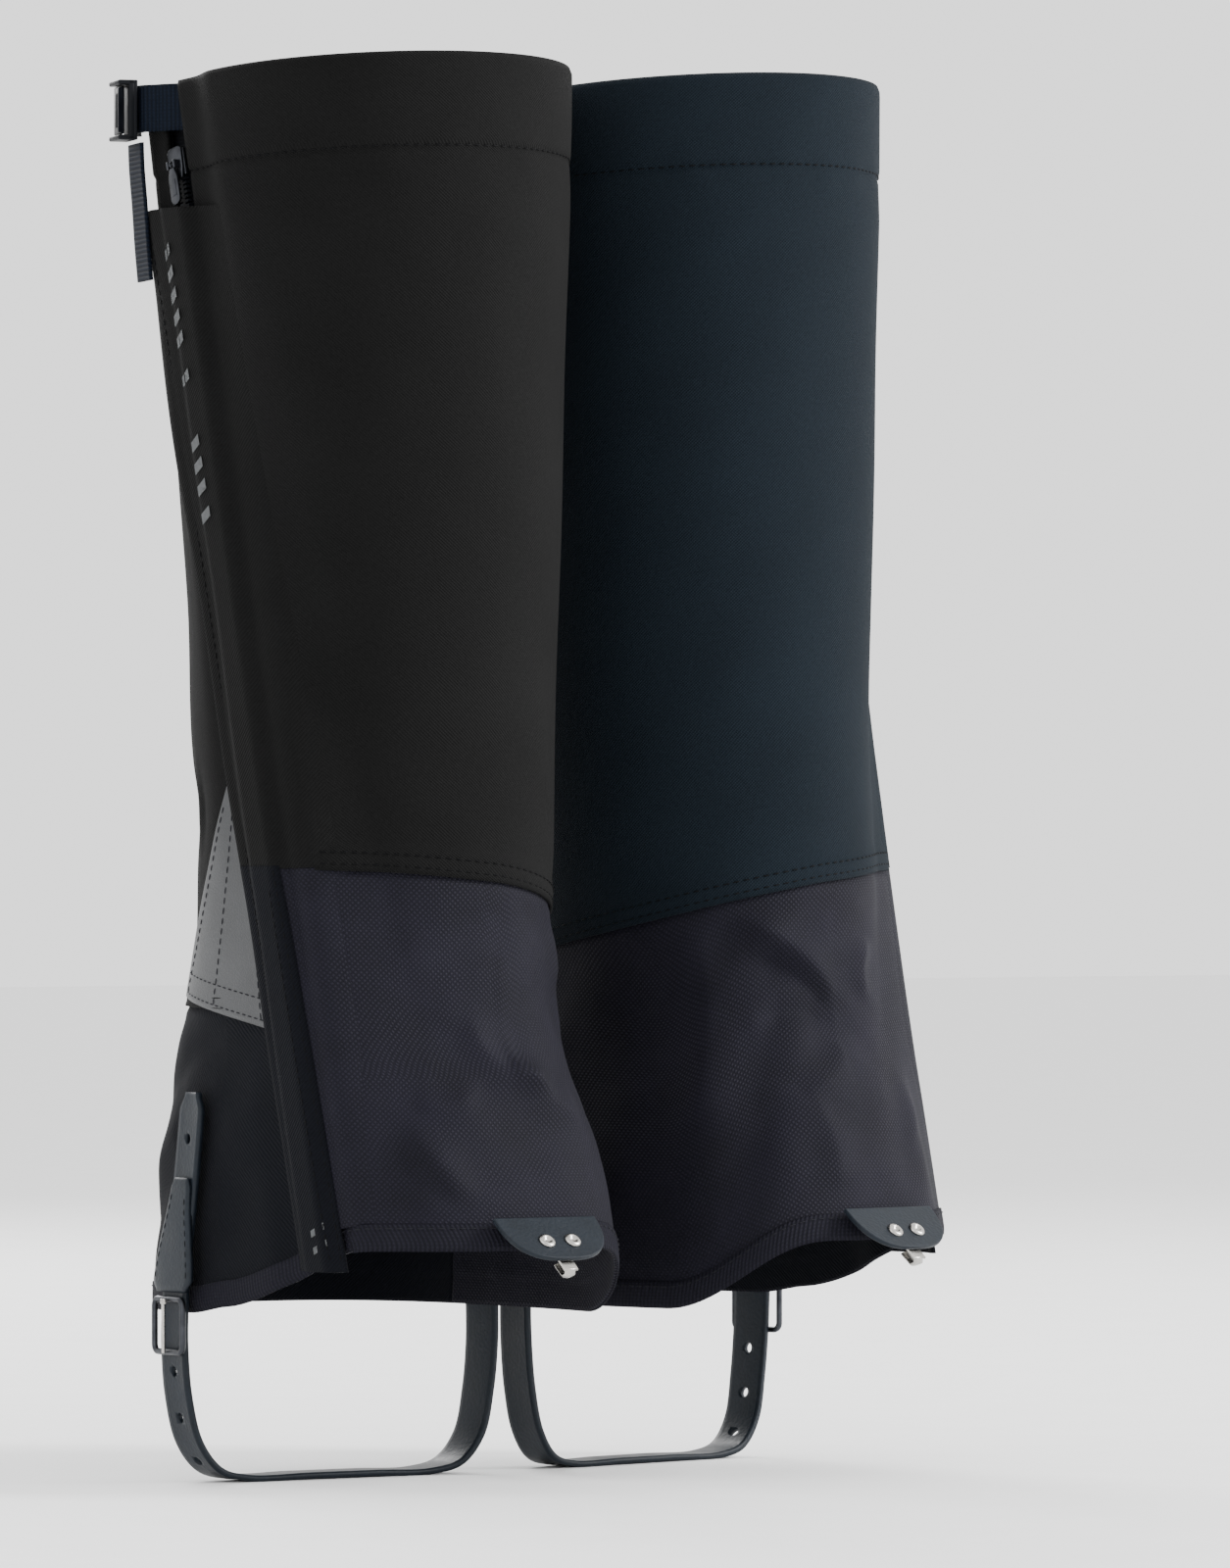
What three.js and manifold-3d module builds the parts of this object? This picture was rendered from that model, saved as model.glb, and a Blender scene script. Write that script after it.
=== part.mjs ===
// A pair of knee-high hiking gaiters in the shape they take when worn, in millimetres.
// +Z is up, the toes point along -Y, and the ground point midway between the two legs is the origin.
// gaiter() builds the right one round its own leg axis, with its outer side at -X; the left one is its mirror.
import * as THREE from "three";
import { mergeVertices } from "three/addons/utils/BufferGeometryUtils.js";
import Module from "manifold-3d";

const wasm = await Module();
wasm.setup();

// ---- driving dimensions ----
const LEG_SPACING = 148; // between the two leg axes
const TOE_OUT = THREE.MathUtils.degToRad(4); // each foot turns out by this much
const RIM_HEIGHT = 510; // upper edge, at the side of the calf
const RIM_RISE = 5; // the rim is this much higher in front and lower behind
const SHELL = 1.4; // cloth and lining of every panel
const LAYER_GAP = 0.7; // between two layers of cloth
const SEAM_GAP = 0.4; // between two panels sewn edge to edge
const HEM_DEPTH = 34; // tunnel of the top strap
const HEM = { low: 62, rise: 25, peak: THREE.MathUtils.degToRad(15) }; // lower edge
const BINDING_DEPTH = 9; // tape round the lower edge
const STRAP_CENTRE = 499; // height of the top strap's middle line
const WEBBING = { width: 17, thick: 1.3 };
const INSTEP = { width: 16, thick: 2.2, standOff: 4.3, pitch: 17, holeRadius: 2 };
const SLIT = 11.4; // width of the shell's opening over the zip
const FLAP_THICK = 1.2;
const FLAP_TOP = 462;
const FLAP_BOTTOM = 79;
const FLAP_HINGE = 13.5; // how far in front of the zip's centre line the flap is sewn on
const TOUCH_THICK = 0.8; // each half of the touch fastening
const TAPE = { outer: 12, inner: 0.8, low: -1.9, high: -1.1, rowOuter: 3, rowHigh: 1.2 };
const SLIDER = { length: 12, width: 8.8, plate: 1.2, restBelowTop: 13 };
const PULL = { length: 15, width: 5.4, thick: 1.1 };
const TAB = { width: 44, drop: 21, thick: 1.8, slope: THREE.MathUtils.degToRad(48) };
const BUCKLE = { width: 24, height: 20, wire: 2.4 };
const RIVET = { head: 4, shank: 1.9, headHeight: 1.2 };

// Horizontal sections of the worn tube: height, then the reach to the outer side, to the inner side,
// forward and back, and how square the outer front quarter and the rest are (2 is an ellipse).
const SECTIONS = [
  [52, 63, 60, 109, 87, 2.8, 2.8],
  [80, 63, 61, 108, 86, 2.8, 2.8],
  [110, 62, 60, 100, 82, 2.8, 2.8],
  [135, 61, 57, 91, 79, 2.8, 2.7],
  [155, 60, 53, 83, 77, 2.7, 2.4],
  [172, 60, 51, 79, 74, 2.6, 2.2],
  [195, 61, 54, 77, 66, 2.4, 2.1],
  [222, 62, 58, 76, 64, 2.2, 2],
  [244, 63, 60, 75, 60, 2.1, 2],
  [262, 63.5, 61, 75, 67, 2, 2],
  [320, 65, 64, 74, 72, 2, 2],
  [400, 68, 67, 74, 79, 2, 2],
  [460, 70, 69, 75, 81, 2, 2],
  [520, 71, 70, 75, 77, 2, 2],
];

// The zip runs in a straight line on the outer side, and the cloth beside it lies flat.
const ZIP_BOTTOM = new THREE.Vector3(-58.5, -58, 88);
const ZIP_TOP = new THREE.Vector3(-66, 28, 485);
const FLAT_HALF = 14; // half width of the flat cloth beside the zip
const FLAT_FADE = 34; // where the cloth has its own round shape again

// Seam between the upper shell and the lower panels: angle from the front towards the outer side, height.
const SEAM = [
  [-300, 172],
  [-180, 174],
  [-140, 184],
  [-98, 195],
  [-60, 205],
  [-25, 215],
  [15, 221],
  [50, 223],
  [90, 223],
];
const INNER_SEAM = THREE.MathUtils.degToRad(-105); // where the front and heel panels meet

const FLAP_EDGE_LOW = { y: -46, z: 86 };
const FLAP_EDGE_HIGH = { y: 47, z: FLAP_TOP };

const LOOKS = {
  softshell: { color: "#202122", roughness: 0.8, metalness: 0 },
  ripstop: { color: "#2d2b37", roughness: 0.6, metalness: 0 },
  lining: { color: "#17181a", roughness: 0.9, metalness: 0 },
  webbing: { color: "#1b2230", roughness: 0.75, metalness: 0 },
  touch: { color: "#141517", roughness: 0.95, metalness: 0 },
  reflective: { color: "#6f7072", roughness: 0.45, metalness: 0.1 },
  rubber: { color: "#333c46", roughness: 0.5, metalness: 0 },
  plastic: { color: "#17191d", roughness: 0.4, metalness: 0 },
  steel: { color: "#9a9c9e", roughness: 0.3, metalness: 1 },
};

const { lerp, clamp, smoothstep, degToRad } = THREE.MathUtils;

// ---- the surface of the worn tube ----
const sectionCurve = new THREE.CubicInterpolant(
  SECTIONS.map((s) => s[0]),
  SECTIONS.flatMap((s) => s.slice(1)),
  6,
);
const seamCurve = new THREE.LinearInterpolant(
  SEAM.map((s) => degToRad(s[0])),
  SEAM.map((s) => s[1]),
  1,
);

function section(z) {
  const [outer, inner, front, rear, outerFrontSquare, square] = sectionCurve.evaluate(z);
  return { outer, inner, front, rear, outerFrontSquare, square };
}

// Where the zip's centre line is at a height.
function zipLine(z) {
  const t = (z - ZIP_BOTTOM.z) / (ZIP_TOP.z - ZIP_BOTTOM.z);
  return new THREE.Vector3().lerpVectors(ZIP_BOTTOM, ZIP_TOP, t);
}

function surfacePoint(phi, z) {
  const k = section(z);
  const s = Math.sin(phi);
  const c = Math.cos(phi);
  const power = 2 / (s > 0 && c > 0 ? k.outerFrontSquare : k.square);
  const round = (s > 0 ? -k.outer : k.inner) * Math.abs(s) ** power;
  const y = (c > 0 ? -k.front : k.rear) * Math.abs(c) ** power;
  if (s <= 0) return new THREE.Vector3(round, y, z);
  const zip = zipLine(z);
  const flat = 1 - smoothstep(Math.abs(y - zip.y), FLAT_HALF, FLAT_FADE);
  return new THREE.Vector3(lerp(round, zip.x, flat), y, z);
}

// A point over the surface: angle from the front towards the outer side, height, distance outwards.
function onLeg(phi, z, out = 0) {
  const step = 0.01;
  const around = surfacePoint(phi + step, z).sub(surfacePoint(phi - step, z));
  const up = surfacePoint(phi, z + 1).sub(surfacePoint(phi, z - 1));
  const normal = up.cross(around).normalize();
  return surfacePoint(phi, z).addScaledVector(normal, out);
}

// The angle at which the outer side of the tube reaches a given y.
function outerAngle(y, z) {
  const k = section(z);
  const reach = y < 0 ? k.front : k.rear;
  const power = (y < 0 ? k.outerFrontSquare : k.square) / 2;
  const c = clamp(Math.abs(y) / reach, 0, 1) ** power;
  return Math.acos(y < 0 ? c : -c);
}

function zipSide(z, across) {
  return outerAngle(zipLine(z).y + across, z);
}

function rimHeight(phi) {
  return RIM_HEIGHT + RIM_RISE * Math.cos(phi);
}

// The lower edge is highest over the instep, a little towards the outer side, and lowest at the heel.
function hemHeight(phi) {
  return HEM.low + HEM.rise * smoothstep(Math.cos(phi - HEM.peak), 0.1, 0.85);
}

function seamHeight(phi) {
  return seamCurve.evaluate(phi)[0];
}

function flapEdge(z) {
  const t = (z - FLAP_EDGE_LOW.z) / (FLAP_EDGE_HIGH.z - FLAP_EDGE_LOW.z);
  return lerp(FLAP_EDGE_LOW.y, FLAP_EDGE_HIGH.y, t);
}

// ---- making solids ----
// One closed surface that faces outwards: equal corners merged, and faces without an area dropped.
function closed(geometry) {
  if (geometry.userData.closed) return geometry;
  const bare = geometry.clone();
  for (const name of Object.keys(bare.attributes)) {
    if (name !== "position") bare.deleteAttribute(name);
  }
  const merged = mergeVertices(bare, 1e-4);
  const faces = [];
  const index = merged.index.array;
  for (let i = 0; i < index.length; i += 3) {
    const [a, b, c] = [index[i], index[i + 1], index[i + 2]];
    if (a !== b && b !== c && c !== a) faces.push(a, b, c);
  }
  merged.setIndex(faces);
  if (signedVolume(merged) < 0) merged.setIndex(faces.reverse());
  merged.computeVertexNormals();
  merged.userData.closed = true;
  return merged;
}

function signedVolume(geometry) {
  const [a, b, c] = [new THREE.Vector3(), new THREE.Vector3(), new THREE.Vector3()];
  const index = geometry.index.array;
  let volume = 0;
  for (let i = 0; i < index.length; i += 3) {
    a.fromBufferAttribute(geometry.attributes.position, index[i]);
    b.fromBufferAttribute(geometry.attributes.position, index[i + 1]);
    c.fromBufferAttribute(geometry.attributes.position, index[i + 2]);
    volume += a.dot(b.cross(c)) / 6;
  }
  return volume;
}

// A slab of cloth: a box of nu by nv cells whose corners place(u, v, w) puts in space,
// with u and v from 0 to 1 and w from -0.5 to 0.5 through the thickness.
function slab(nu, nv, place) {
  const box = new THREE.BoxGeometry(1, 1, 1, nu, nv, 1);
  const position = box.attributes.position;
  for (let i = 0; i < position.count; i++) {
    const p = place(position.getX(i) + 0.5, position.getY(i) + 0.5, position.getZ(i));
    position.setXYZ(i, p.x, p.y, p.z);
  }
  return closed(box);
}

// A panel on the leg between two angles and two heights. An angle may depend on the height and a height
// on the angle, so each corner is found in a few passes.
function legPanel({ nu, nv, from, to, low, high, out = 0, thick = SHELL }) {
  const value = (f, at) => (typeof f === "function" ? f(at) : f);
  return slab(nu, nv, (u, v, w) => {
    let z = lerp(value(low, 0), value(high, 0), v);
    let phi = 0;
    for (let pass = 0; pass < 6; pass++) {
      phi = lerp(value(from, z), value(to, z), u);
      z = lerp(value(low, phi), value(high, phi), v);
    }
    return onLeg(phi, z, out + w * thick);
  });
}

function manifoldOf(geometry) {
  return new wasm.Manifold(
    new wasm.Mesh({
      numProp: 3,
      vertProperties: geometry.attributes.position.array,
      triVerts: new Uint32Array(geometry.index.array),
    }),
  );
}

function geometryOf(manifold) {
  const mesh = manifold.getMesh();
  const geometry = new THREE.BufferGeometry();
  geometry.setAttribute("position", new THREE.BufferAttribute(mesh.vertProperties, 3));
  geometry.setIndex(new THREE.BufferAttribute(mesh.triVerts, 1));
  geometry.computeVertexNormals();
  geometry.userData.closed = true;
  return geometry;
}

function join(...pieces) {
  const solids = pieces.map((g) => manifoldOf(closed(g)));
  return geometryOf(solids.reduce((a, b) => a.add(b)));
}

function cut(piece, ...tools) {
  const solids = tools.map((g) => manifoldOf(closed(g)));
  return geometryOf(solids.reduce((a, b) => a.subtract(b), manifoldOf(closed(piece))));
}

function block(x, y, z) {
  const box = new THREE.BoxGeometry(x[1] - x[0], y[1] - y[0], z[1] - z[0]);
  return box.translate((x[0] + x[1]) / 2, (y[0] + y[1]) / 2, (z[0] + z[1]) / 2);
}

// A round bar along a local axis, between two places on it.
function bar(radius, axis, from, to, at = [0, 0], sides = 10) {
  const cylinder = new THREE.CylinderGeometry(radius, radius, to - from, sides);
  cylinder.translate(0, (from + to) / 2, 0);
  if (axis === "x") cylinder.rotateZ(-Math.PI / 2).translate(0, at[0], at[1]);
  if (axis === "y") cylinder.translate(at[0], 0, at[1]);
  if (axis === "z") cylinder.rotateX(Math.PI / 2).translate(at[0], at[1], 0);
  return cylinder;
}

function named(name, geometry, look) {
  const mesh = new THREE.Mesh(closed(geometry), new THREE.MeshStandardMaterial(LOOKS[look]));
  mesh.name = name;
  return mesh;
}

// A group that stands on the leg: x goes round towards the back on the outer side, y outwards, z up.
function standOn(phi, z, out = 0) {
  const step = 0.01;
  const around = surfacePoint(phi + step, z).sub(surfacePoint(phi - step, z));
  around.setZ(0).normalize();
  const up = new THREE.Vector3(0, 0, 1);
  const outward = new THREE.Vector3().crossVectors(up, around);
  const group = new THREE.Group();
  group.matrix.makeBasis(around, outward, up);
  group.quaternion.setFromRotationMatrix(group.matrix);
  group.position.copy(onLeg(phi, z, out));
  return group;
}

// ---- the cloth panels ----
function upperShell() {
  return legPanel({
    nu: 36,
    nv: 8,
    from: (z) => zipSide(z, -SLIT / 2),
    to: (z) => zipSide(z, SLIT / 2) - 2 * Math.PI,
    low: (phi) => seamHeight(phi) + SEAM_GAP / 2,
    high: rimHeight,
  });
}

function lowerFrontPanel() {
  return legPanel({
    nu: 20,
    nv: 6,
    from: (z) => zipSide(z, -SLIT / 2),
    to: INNER_SEAM,
    low: hemHeight,
    high: (phi) => seamHeight(phi) - SEAM_GAP / 2,
  });
}

function heelPanel() {
  return legPanel({
    nu: 20,
    nv: 6,
    from: (z) => INNER_SEAM - (SEAM_GAP / section(z).inner) * 1.5,
    to: (z) => zipSide(z, SLIT / 2) - 2 * Math.PI,
    low: hemHeight,
    high: (phi) => seamHeight(phi) - SEAM_GAP / 2,
  });
}

function topHem() {
  const out = -SHELL / 2 - 3 * LAYER_GAP - WEBBING.thick - 0.4;
  return legPanel({
    nu: 36,
    nv: 1,
    from: (z) => zipSide(z, -SLIT / 2 - 4),
    to: (z) => zipSide(z, SLIT / 2 + 4) - 2 * Math.PI,
    low: (phi) => rimHeight(phi) - HEM_DEPTH,
    high: (phi) => rimHeight(phi) - 1,
    out,
    thick: 0.8,
  });
}

function bottomHem() {
  return legPanel({
    nu: 40,
    nv: 1,
    from: (z) => zipSide(z, -FLAP_HINGE - 2),
    to: (z) => zipSide(z, SLIT / 2 + 2) - 2 * Math.PI,
    low: hemHeight,
    high: (phi) => hemHeight(phi) + BINDING_DEPTH,
    out: SHELL / 2 + LAYER_GAP + 0.6,
    thick: 0.8,
  });
}

function ankleElastic() {
  return legPanel({
    nu: 16,
    nv: 1,
    from: degToRad(100),
    to: degToRad(255),
    low: 238,
    high: 250,
    out: -SHELL / 2 - 2 * LAYER_GAP,
    thick: 1,
  });
}

function reflectiveTriangle() {
  return legPanel({
    nu: 5,
    nv: 6,
    from: (z) => outerAngle(flapEdge(z) + 3.5, z),
    to: (z) => {
      const rise = clamp((z - 176) / (252 - 176), 0, 1);
      return outerAngle(lerp(46, flapEdge(z) + 6, rise), z);
    },
    low: 176,
    high: 252,
    out: SHELL / 2 + LAYER_GAP + 0.5,
    thick: 0.6,
  });
}

// ---- the zip, in its own straight frame: x across towards the back, y outwards, z up along it ----
function zipFrame() {
  const along = new THREE.Vector3().subVectors(ZIP_TOP, ZIP_BOTTOM);
  const length = along.length();
  along.normalize();
  const outward = new THREE.Vector3(-along.z, 0, along.x).normalize();
  const across = new THREE.Vector3().crossVectors(outward, along);
  const group = new THREE.Group();
  group.matrix.makeBasis(across, outward, along);
  group.quaternion.setFromRotationMatrix(group.matrix);
  group.position.copy(ZIP_BOTTOM);
  return { group, length };
}

// Tape and the row of teeth on its edge; side is -1 for the front one and 1 for the rear one.
function zipTape(length, side) {
  const shape = new THREE.Shape([
    new THREE.Vector2(side * TAPE.inner, TAPE.low),
    new THREE.Vector2(side * TAPE.outer, TAPE.low),
    new THREE.Vector2(side * TAPE.outer, TAPE.high),
    new THREE.Vector2(side * TAPE.rowOuter, TAPE.high),
    new THREE.Vector2(side * TAPE.rowOuter, TAPE.rowHigh),
    new THREE.Vector2(side * TAPE.inner, TAPE.rowHigh),
  ]);
  return new THREE.ExtrudeGeometry(shape, { depth: length, bevelEnabled: false });
}

function zipBox() {
  return join(
    block([-4.2, 4.2], [TAPE.low - 0.6, TAPE.rowHigh + 0.6], [-7, -0.4]),
    block([-1.6, 1.6], [TAPE.rowHigh + 0.5, TAPE.rowHigh + 1.3], [-6, -1]),
  );
}

function zipSlider() {
  const half = SLIDER.width / 2;
  const top = TAPE.rowHigh + 0.5;
  const under = TAPE.low - 0.5;
  const plate = SLIDER.plate;
  const z = [0, SLIDER.length];
  return join(
    block([-half, half], [top, top + plate], z),
    block([-half, half], [under - plate, under], z),
    block([-0.45, 0.45], [under - 0.1, top + 0.1], [SLIDER.length - 3, SLIDER.length - 0.5]),
    block([-half, -half + 0.9], [top - 1.5, top + 0.1], z),
    block([half - 0.9, half], [top - 1.5, top + 0.1], z),
    block([-2.6, -1.6], [top + plate - 0.1, top + plate + 2.4], [4, 7]),
    block([1.6, 2.6], [top + plate - 0.1, top + plate + 2.4], [4, 7]),
    bar(0.5, "x", -2.2, 2.2, [top + plate + 1.4, 5.5], 8),
  );
}

// The pull hangs from the slider's pin; the pin's centre is the origin.
function zipPull() {
  const blade = new THREE.Shape();
  const half = PULL.width / 2;
  blade.moveTo(-half * 0.5, -1.6);
  blade.lineTo(half * 0.5, -1.6);
  blade.lineTo(half, -5);
  blade.lineTo(half, -PULL.length + 2);
  blade.quadraticCurveTo(half, -PULL.length, 0, -PULL.length);
  blade.quadraticCurveTo(-half, -PULL.length, -half, -PULL.length + 2);
  blade.lineTo(-half, -5);
  const depth = PULL.thick;
  const flat = new THREE.ExtrudeGeometry(blade, { depth, bevelEnabled: false, curveSegments: 5 });
  flat.rotateX(Math.PI / 2).translate(0, PULL.thick / 2, 0);
  const ring = new THREE.Shape();
  ring.absarc(0, 0, 1.35, 0, 2 * Math.PI);
  const eye = new THREE.Path();
  eye.absarc(0, 0, 0.75, 0, 2 * Math.PI, true);
  ring.holes.push(eye);
  const loop = new THREE.ExtrudeGeometry(ring, { depth: 2, bevelEnabled: false, curveSegments: 6 });
  loop.rotateY(Math.PI / 2).translate(-1, 0, 0);
  const blank = join(flat, loop, block([-1, 1], [-0.5, 0.5], [-2, -1.1]));
  return cut(blank, bar(1.4, "y", -3, 3, [0, 3.8 - PULL.length], 10));
}

// ---- storm flap and its touch fastening ----
function flapStand(z, y) {
  const across = y - zipLine(z).y;
  const over = 1 - smoothstep(Math.abs(across), 5.6, 11);
  const rear = smoothstep(across, -FLAP_HINGE, -4);
  return lerp(2.3, 4.6, rear) + 2.3 * over;
}

function flapCloth({ nu, nv, front, rear, low, high }) {
  return slab(nu, nv, (u, v, w) => {
    const z = lerp(low, high, v);
    const y = lerp(front(z), rear(z), u);
    return onLeg(outerAngle(y, z), z, flapStand(z, y) + w * FLAP_THICK);
  });
}

const flapHinge = (z) => zipLine(z).y - FLAP_HINGE + 0.5;
const flapBand = (z) => Math.max(flapEdge(z) - 17, flapHinge(z) + 4);

function flap() {
  const low = seamHeight(degToRad(75));
  const upper = flapCloth({ nu: 8, nv: 12, front: flapHinge, rear: flapEdge, low, high: FLAP_TOP });
  const band = flapCloth({
    nu: 5,
    nv: 8,
    front: flapBand,
    rear: flapEdge,
    low: FLAP_BOTTOM,
    high: low + 0.01,
  });
  return join(upper, band);
}

function flapLowerPanel() {
  return flapCloth({
    nu: 4,
    nv: 8,
    front: flapHinge,
    rear: (z) => flapBand(z) - SEAM_GAP,
    low: FLAP_BOTTOM,
    high: seamHeight(degToRad(75)) - SEAM_GAP,
  });
}

function touchStrip(out) {
  return slab(2, 16, (u, v, w) => {
    const z = lerp(94, FLAP_TOP - 6, v);
    const rear = flapEdge(z) - 2;
    const front = Math.max(zipLine(z).y + 7.5, rear - 18);
    return onLeg(outerAngle(lerp(front, rear, u), z), z, out + w * TOUCH_THICK);
  });
}

// ---- top strap and cam buckle ----
const BUCKLE_ANGLE = degToRad(127);
const BUCKLE_OUT = 5.5;

function topStrap() {
  const inside = -SHELL / 2 - LAYER_GAP - WEBBING.thick / 2 - 0.4;
  const start = degToRad(-215);
  return slab(46, 1, (u, v, w) => {
    const phi = lerp(start, BUCKLE_ANGLE + degToRad(4), u);
    const front = zipSide(STRAP_CENTRE, -SLIT / 2 + 0.5);
    const rise = smoothstep(phi, front, front + degToRad(8));
    const lift = smoothstep(phi, front + degToRad(8), BUCKLE_ANGLE - degToRad(4));
    const out = lerp(inside, 2.4, rise) + (BUCKLE_OUT - 1.6) * lift * 0.8;
    const z = STRAP_CENTRE + (v - 0.5) * WEBBING.width;
    return onLeg(phi, z, out + w * WEBBING.thick);
  });
}

// The loose end turns round the buckle's edge and hangs down outside the shell.
function strapTail() {
  const path = new THREE.CatmullRomCurve3([
    new THREE.Vector3(0, 0, 0),
    new THREE.Vector3(1.5, 0.4, -8),
    new THREE.Vector3(2, 0.2, -22),
    new THREE.Vector3(1, -1.5, -38),
    new THREE.Vector3(-1, -3, -50),
  ]);
  return slab(10, 1, (u, v, w) => {
    const p = path.getPoint(u);
    return p.add(new THREE.Vector3((v - 0.5) * WEBBING.width, w * WEBBING.thick, 0));
  });
}

function camBuckleFrame() {
  const h = WEBBING.width / 2 + 2.4;
  return join(
    block([-7, 7], [-1.2, 0.4], [-h, h]),
    block([-7, 7], [0.3, 6], [h - 1.8, h]),
    block([-7, 7], [0.3, 6], [-h, -h + 1.8]),
    block([-7, -5], [0.3, 2.2], [-h, h]),
  );
}

// The lever turns on a vertical pin between the frame's cheeks; its pin is the origin.
function camLever() {
  const h = WEBBING.width / 2 + 0.2;
  return join(
    bar(1.5, "z", -h, h, [0, 0], 10),
    block([-9.5, 0], [0.2, 1.5], [-h, h]),
    block([-9.5, -8.3], [1.4, 2.4], [-h, h]),
  );
}

// ---- instep strap ----
// Middle line of the strap from its free end on the outer side, under the sole, to the inner side.
function instepPath() {
  const outerSide = (z, y) => onLeg(outerAngle(y, z), z, INSTEP.standOff);
  const innerSide = (z, y) => onLeg(innerAngle(y, z), z, INSTEP.standOff);
  const under = INSTEP.thick / 2;
  const down = outerSide(64, 29);
  const up = innerSide(66, 22);
  return new THREE.CatmullRomCurve3(
    [
      outerSide(141, 20),
      outerSide(120, 21.5),
      outerSide(98, 24),
      outerSide(80, 27),
      down,
      new THREE.Vector3(down.x + 0.2, 30, 48),
      new THREE.Vector3(down.x + 2, 30, 30),
      new THREE.Vector3(down.x + 6, 29, 14),
      new THREE.Vector3(down.x + 14, 28, 4.2),
      new THREE.Vector3(down.x + 26, 27, under),
      new THREE.Vector3(-14, 26, under),
      new THREE.Vector3(14, 25, under),
      new THREE.Vector3(up.x - 26, 24, under),
      new THREE.Vector3(up.x - 14, 23, 4.2),
      new THREE.Vector3(up.x - 6, 22, 14),
      new THREE.Vector3(up.x - 2, 22, 30),
      new THREE.Vector3(up.x - 0.2, 22, 48),
      up,
      innerSide(84, 22),
      innerSide(104, 22),
    ],
    false,
    "centripetal",
  );
}

// The strap lies flat against the tube, which narrows towards the heel on both sides.
function strapWidthWay(u) {
  return new THREE.Vector3(lerp(0.13, -0.13, u), 1, 0).normalize();
}

function instepStrap() {
  const path = instepPath();
  const blank = slab(44, 1, (u, v, w) => {
    const widthWay = strapWidthWay(u);
    const normal = path.getTangentAt(u).cross(widthWay).normalize();
    const p = path.getPointAt(u).addScaledVector(normal, w * INSTEP.thick);
    const taper = 1 - 0.45 * smoothstep(0.02 - u, 0, 0.02);
    return p.addScaledVector(widthWay, (v - 0.5) * INSTEP.width * taper);
  });
  const holes = [1, 2.1, 3.2, 6, 7, 8].map((n) => strapHole(path, n * INSTEP.pitch));
  holes.push(rivetHole());
  return cut(blank, ...holes);
}

// A round drill through the strap, at a distance from its free end.
function strapHole(path, distance) {
  const u = distance / path.getLength();
  const p = path.getPointAt(u);
  const normal = path.getTangentAt(u).cross(strapWidthWay(u)).normalize();
  const drill = new THREE.CylinderGeometry(INSTEP.holeRadius, INSTEP.holeRadius, 8, 8);
  const turn = new THREE.Quaternion().setFromUnitVectors(new THREE.Vector3(0, 1, 0), normal);
  return drill.applyQuaternion(turn).translate(p.x, p.y, p.z);
}

function innerAngle(y, z) {
  return -outerAngle(y, z);
}

function rivetPlace() {
  return standOn(innerAngle(22, 92), 92, INSTEP.standOff);
}

function rivetHole() {
  const group = rivetPlace();
  group.updateMatrix();
  return bar(RIVET.shank + 0.3, "y", -5, 8, [0, 0], 10).applyMatrix4(group.matrix);
}

function sidePatch() {
  const out = INSTEP.standOff + INSTEP.thick / 2 + 1.4;
  return slab(4, 5, (u, v, w) => {
    const z = lerp(69, 110, v);
    const middle = lerp(28.5, 22, v);
    const half = lerp(13.5, 6, smoothstep(v, 0, 1));
    const y = middle + (u - 0.5) * 2 * half;
    return onLeg(outerAngle(y, z), z, out + w * 1.8);
  });
}

function innerAnchor() {
  const out = INSTEP.standOff + INSTEP.thick / 2 + 1.9;
  const patch = slab(4, 4, (u, v, w) => {
    const z = lerp(74, 110, v);
    const y = 22 + (u - 0.5) * lerp(26, 20, v);
    return onLeg(innerAngle(y, z), z, out + w * 1.8);
  });
  return cut(patch, rivetHole());
}

function rivet() {
  const inner = -INSTEP.thick / 2 - 0.4;
  const outer = INSTEP.thick / 2 + 1.9 + 0.9 + 0.4;
  const profile = [
    [0, inner - 0.8],
    [RIVET.head - 0.6, inner - 0.8],
    [RIVET.head - 0.6, inner],
    [RIVET.shank, inner],
    [RIVET.shank, outer],
    [RIVET.head, outer],
    [RIVET.head * 0.8, outer + RIVET.headHeight * 0.8],
    [RIVET.head * 0.4, outer + RIVET.headHeight],
    [0, outer + RIVET.headHeight],
  ];
  return new THREE.LatheGeometry(profile.map((p) => new THREE.Vector2(...p)), 12);
}

// Rectangular pin buckle that hangs from its upper bar; the bar's centre is the origin.
function buckleFrame() {
  const half = BUCKLE.width / 2;
  const ring = new THREE.Shape();
  ring.moveTo(-half, BUCKLE.wire / 2);
  ring.lineTo(half, BUCKLE.wire / 2);
  ring.lineTo(half, -BUCKLE.height + 3);
  ring.quadraticCurveTo(half, -BUCKLE.height, half - 3, -BUCKLE.height);
  ring.lineTo(-half + 3, -BUCKLE.height);
  ring.quadraticCurveTo(-half, -BUCKLE.height, -half, -BUCKLE.height + 3);
  const window = new THREE.Path();
  const inside = half - BUCKLE.wire;
  window.moveTo(-inside, -BUCKLE.wire / 2);
  window.lineTo(-inside, -BUCKLE.height + BUCKLE.wire);
  window.lineTo(inside, -BUCKLE.height + BUCKLE.wire);
  window.lineTo(inside, -BUCKLE.wire / 2);
  ring.holes.push(window);
  const depth = BUCKLE.wire * 0.8;
  const plate = new THREE.ExtrudeGeometry(ring, { depth, bevelEnabled: false, curveSegments: 4 });
  return plate.rotateX(Math.PI / 2).translate(0, BUCKLE.wire * 0.4, 0);
}

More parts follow.
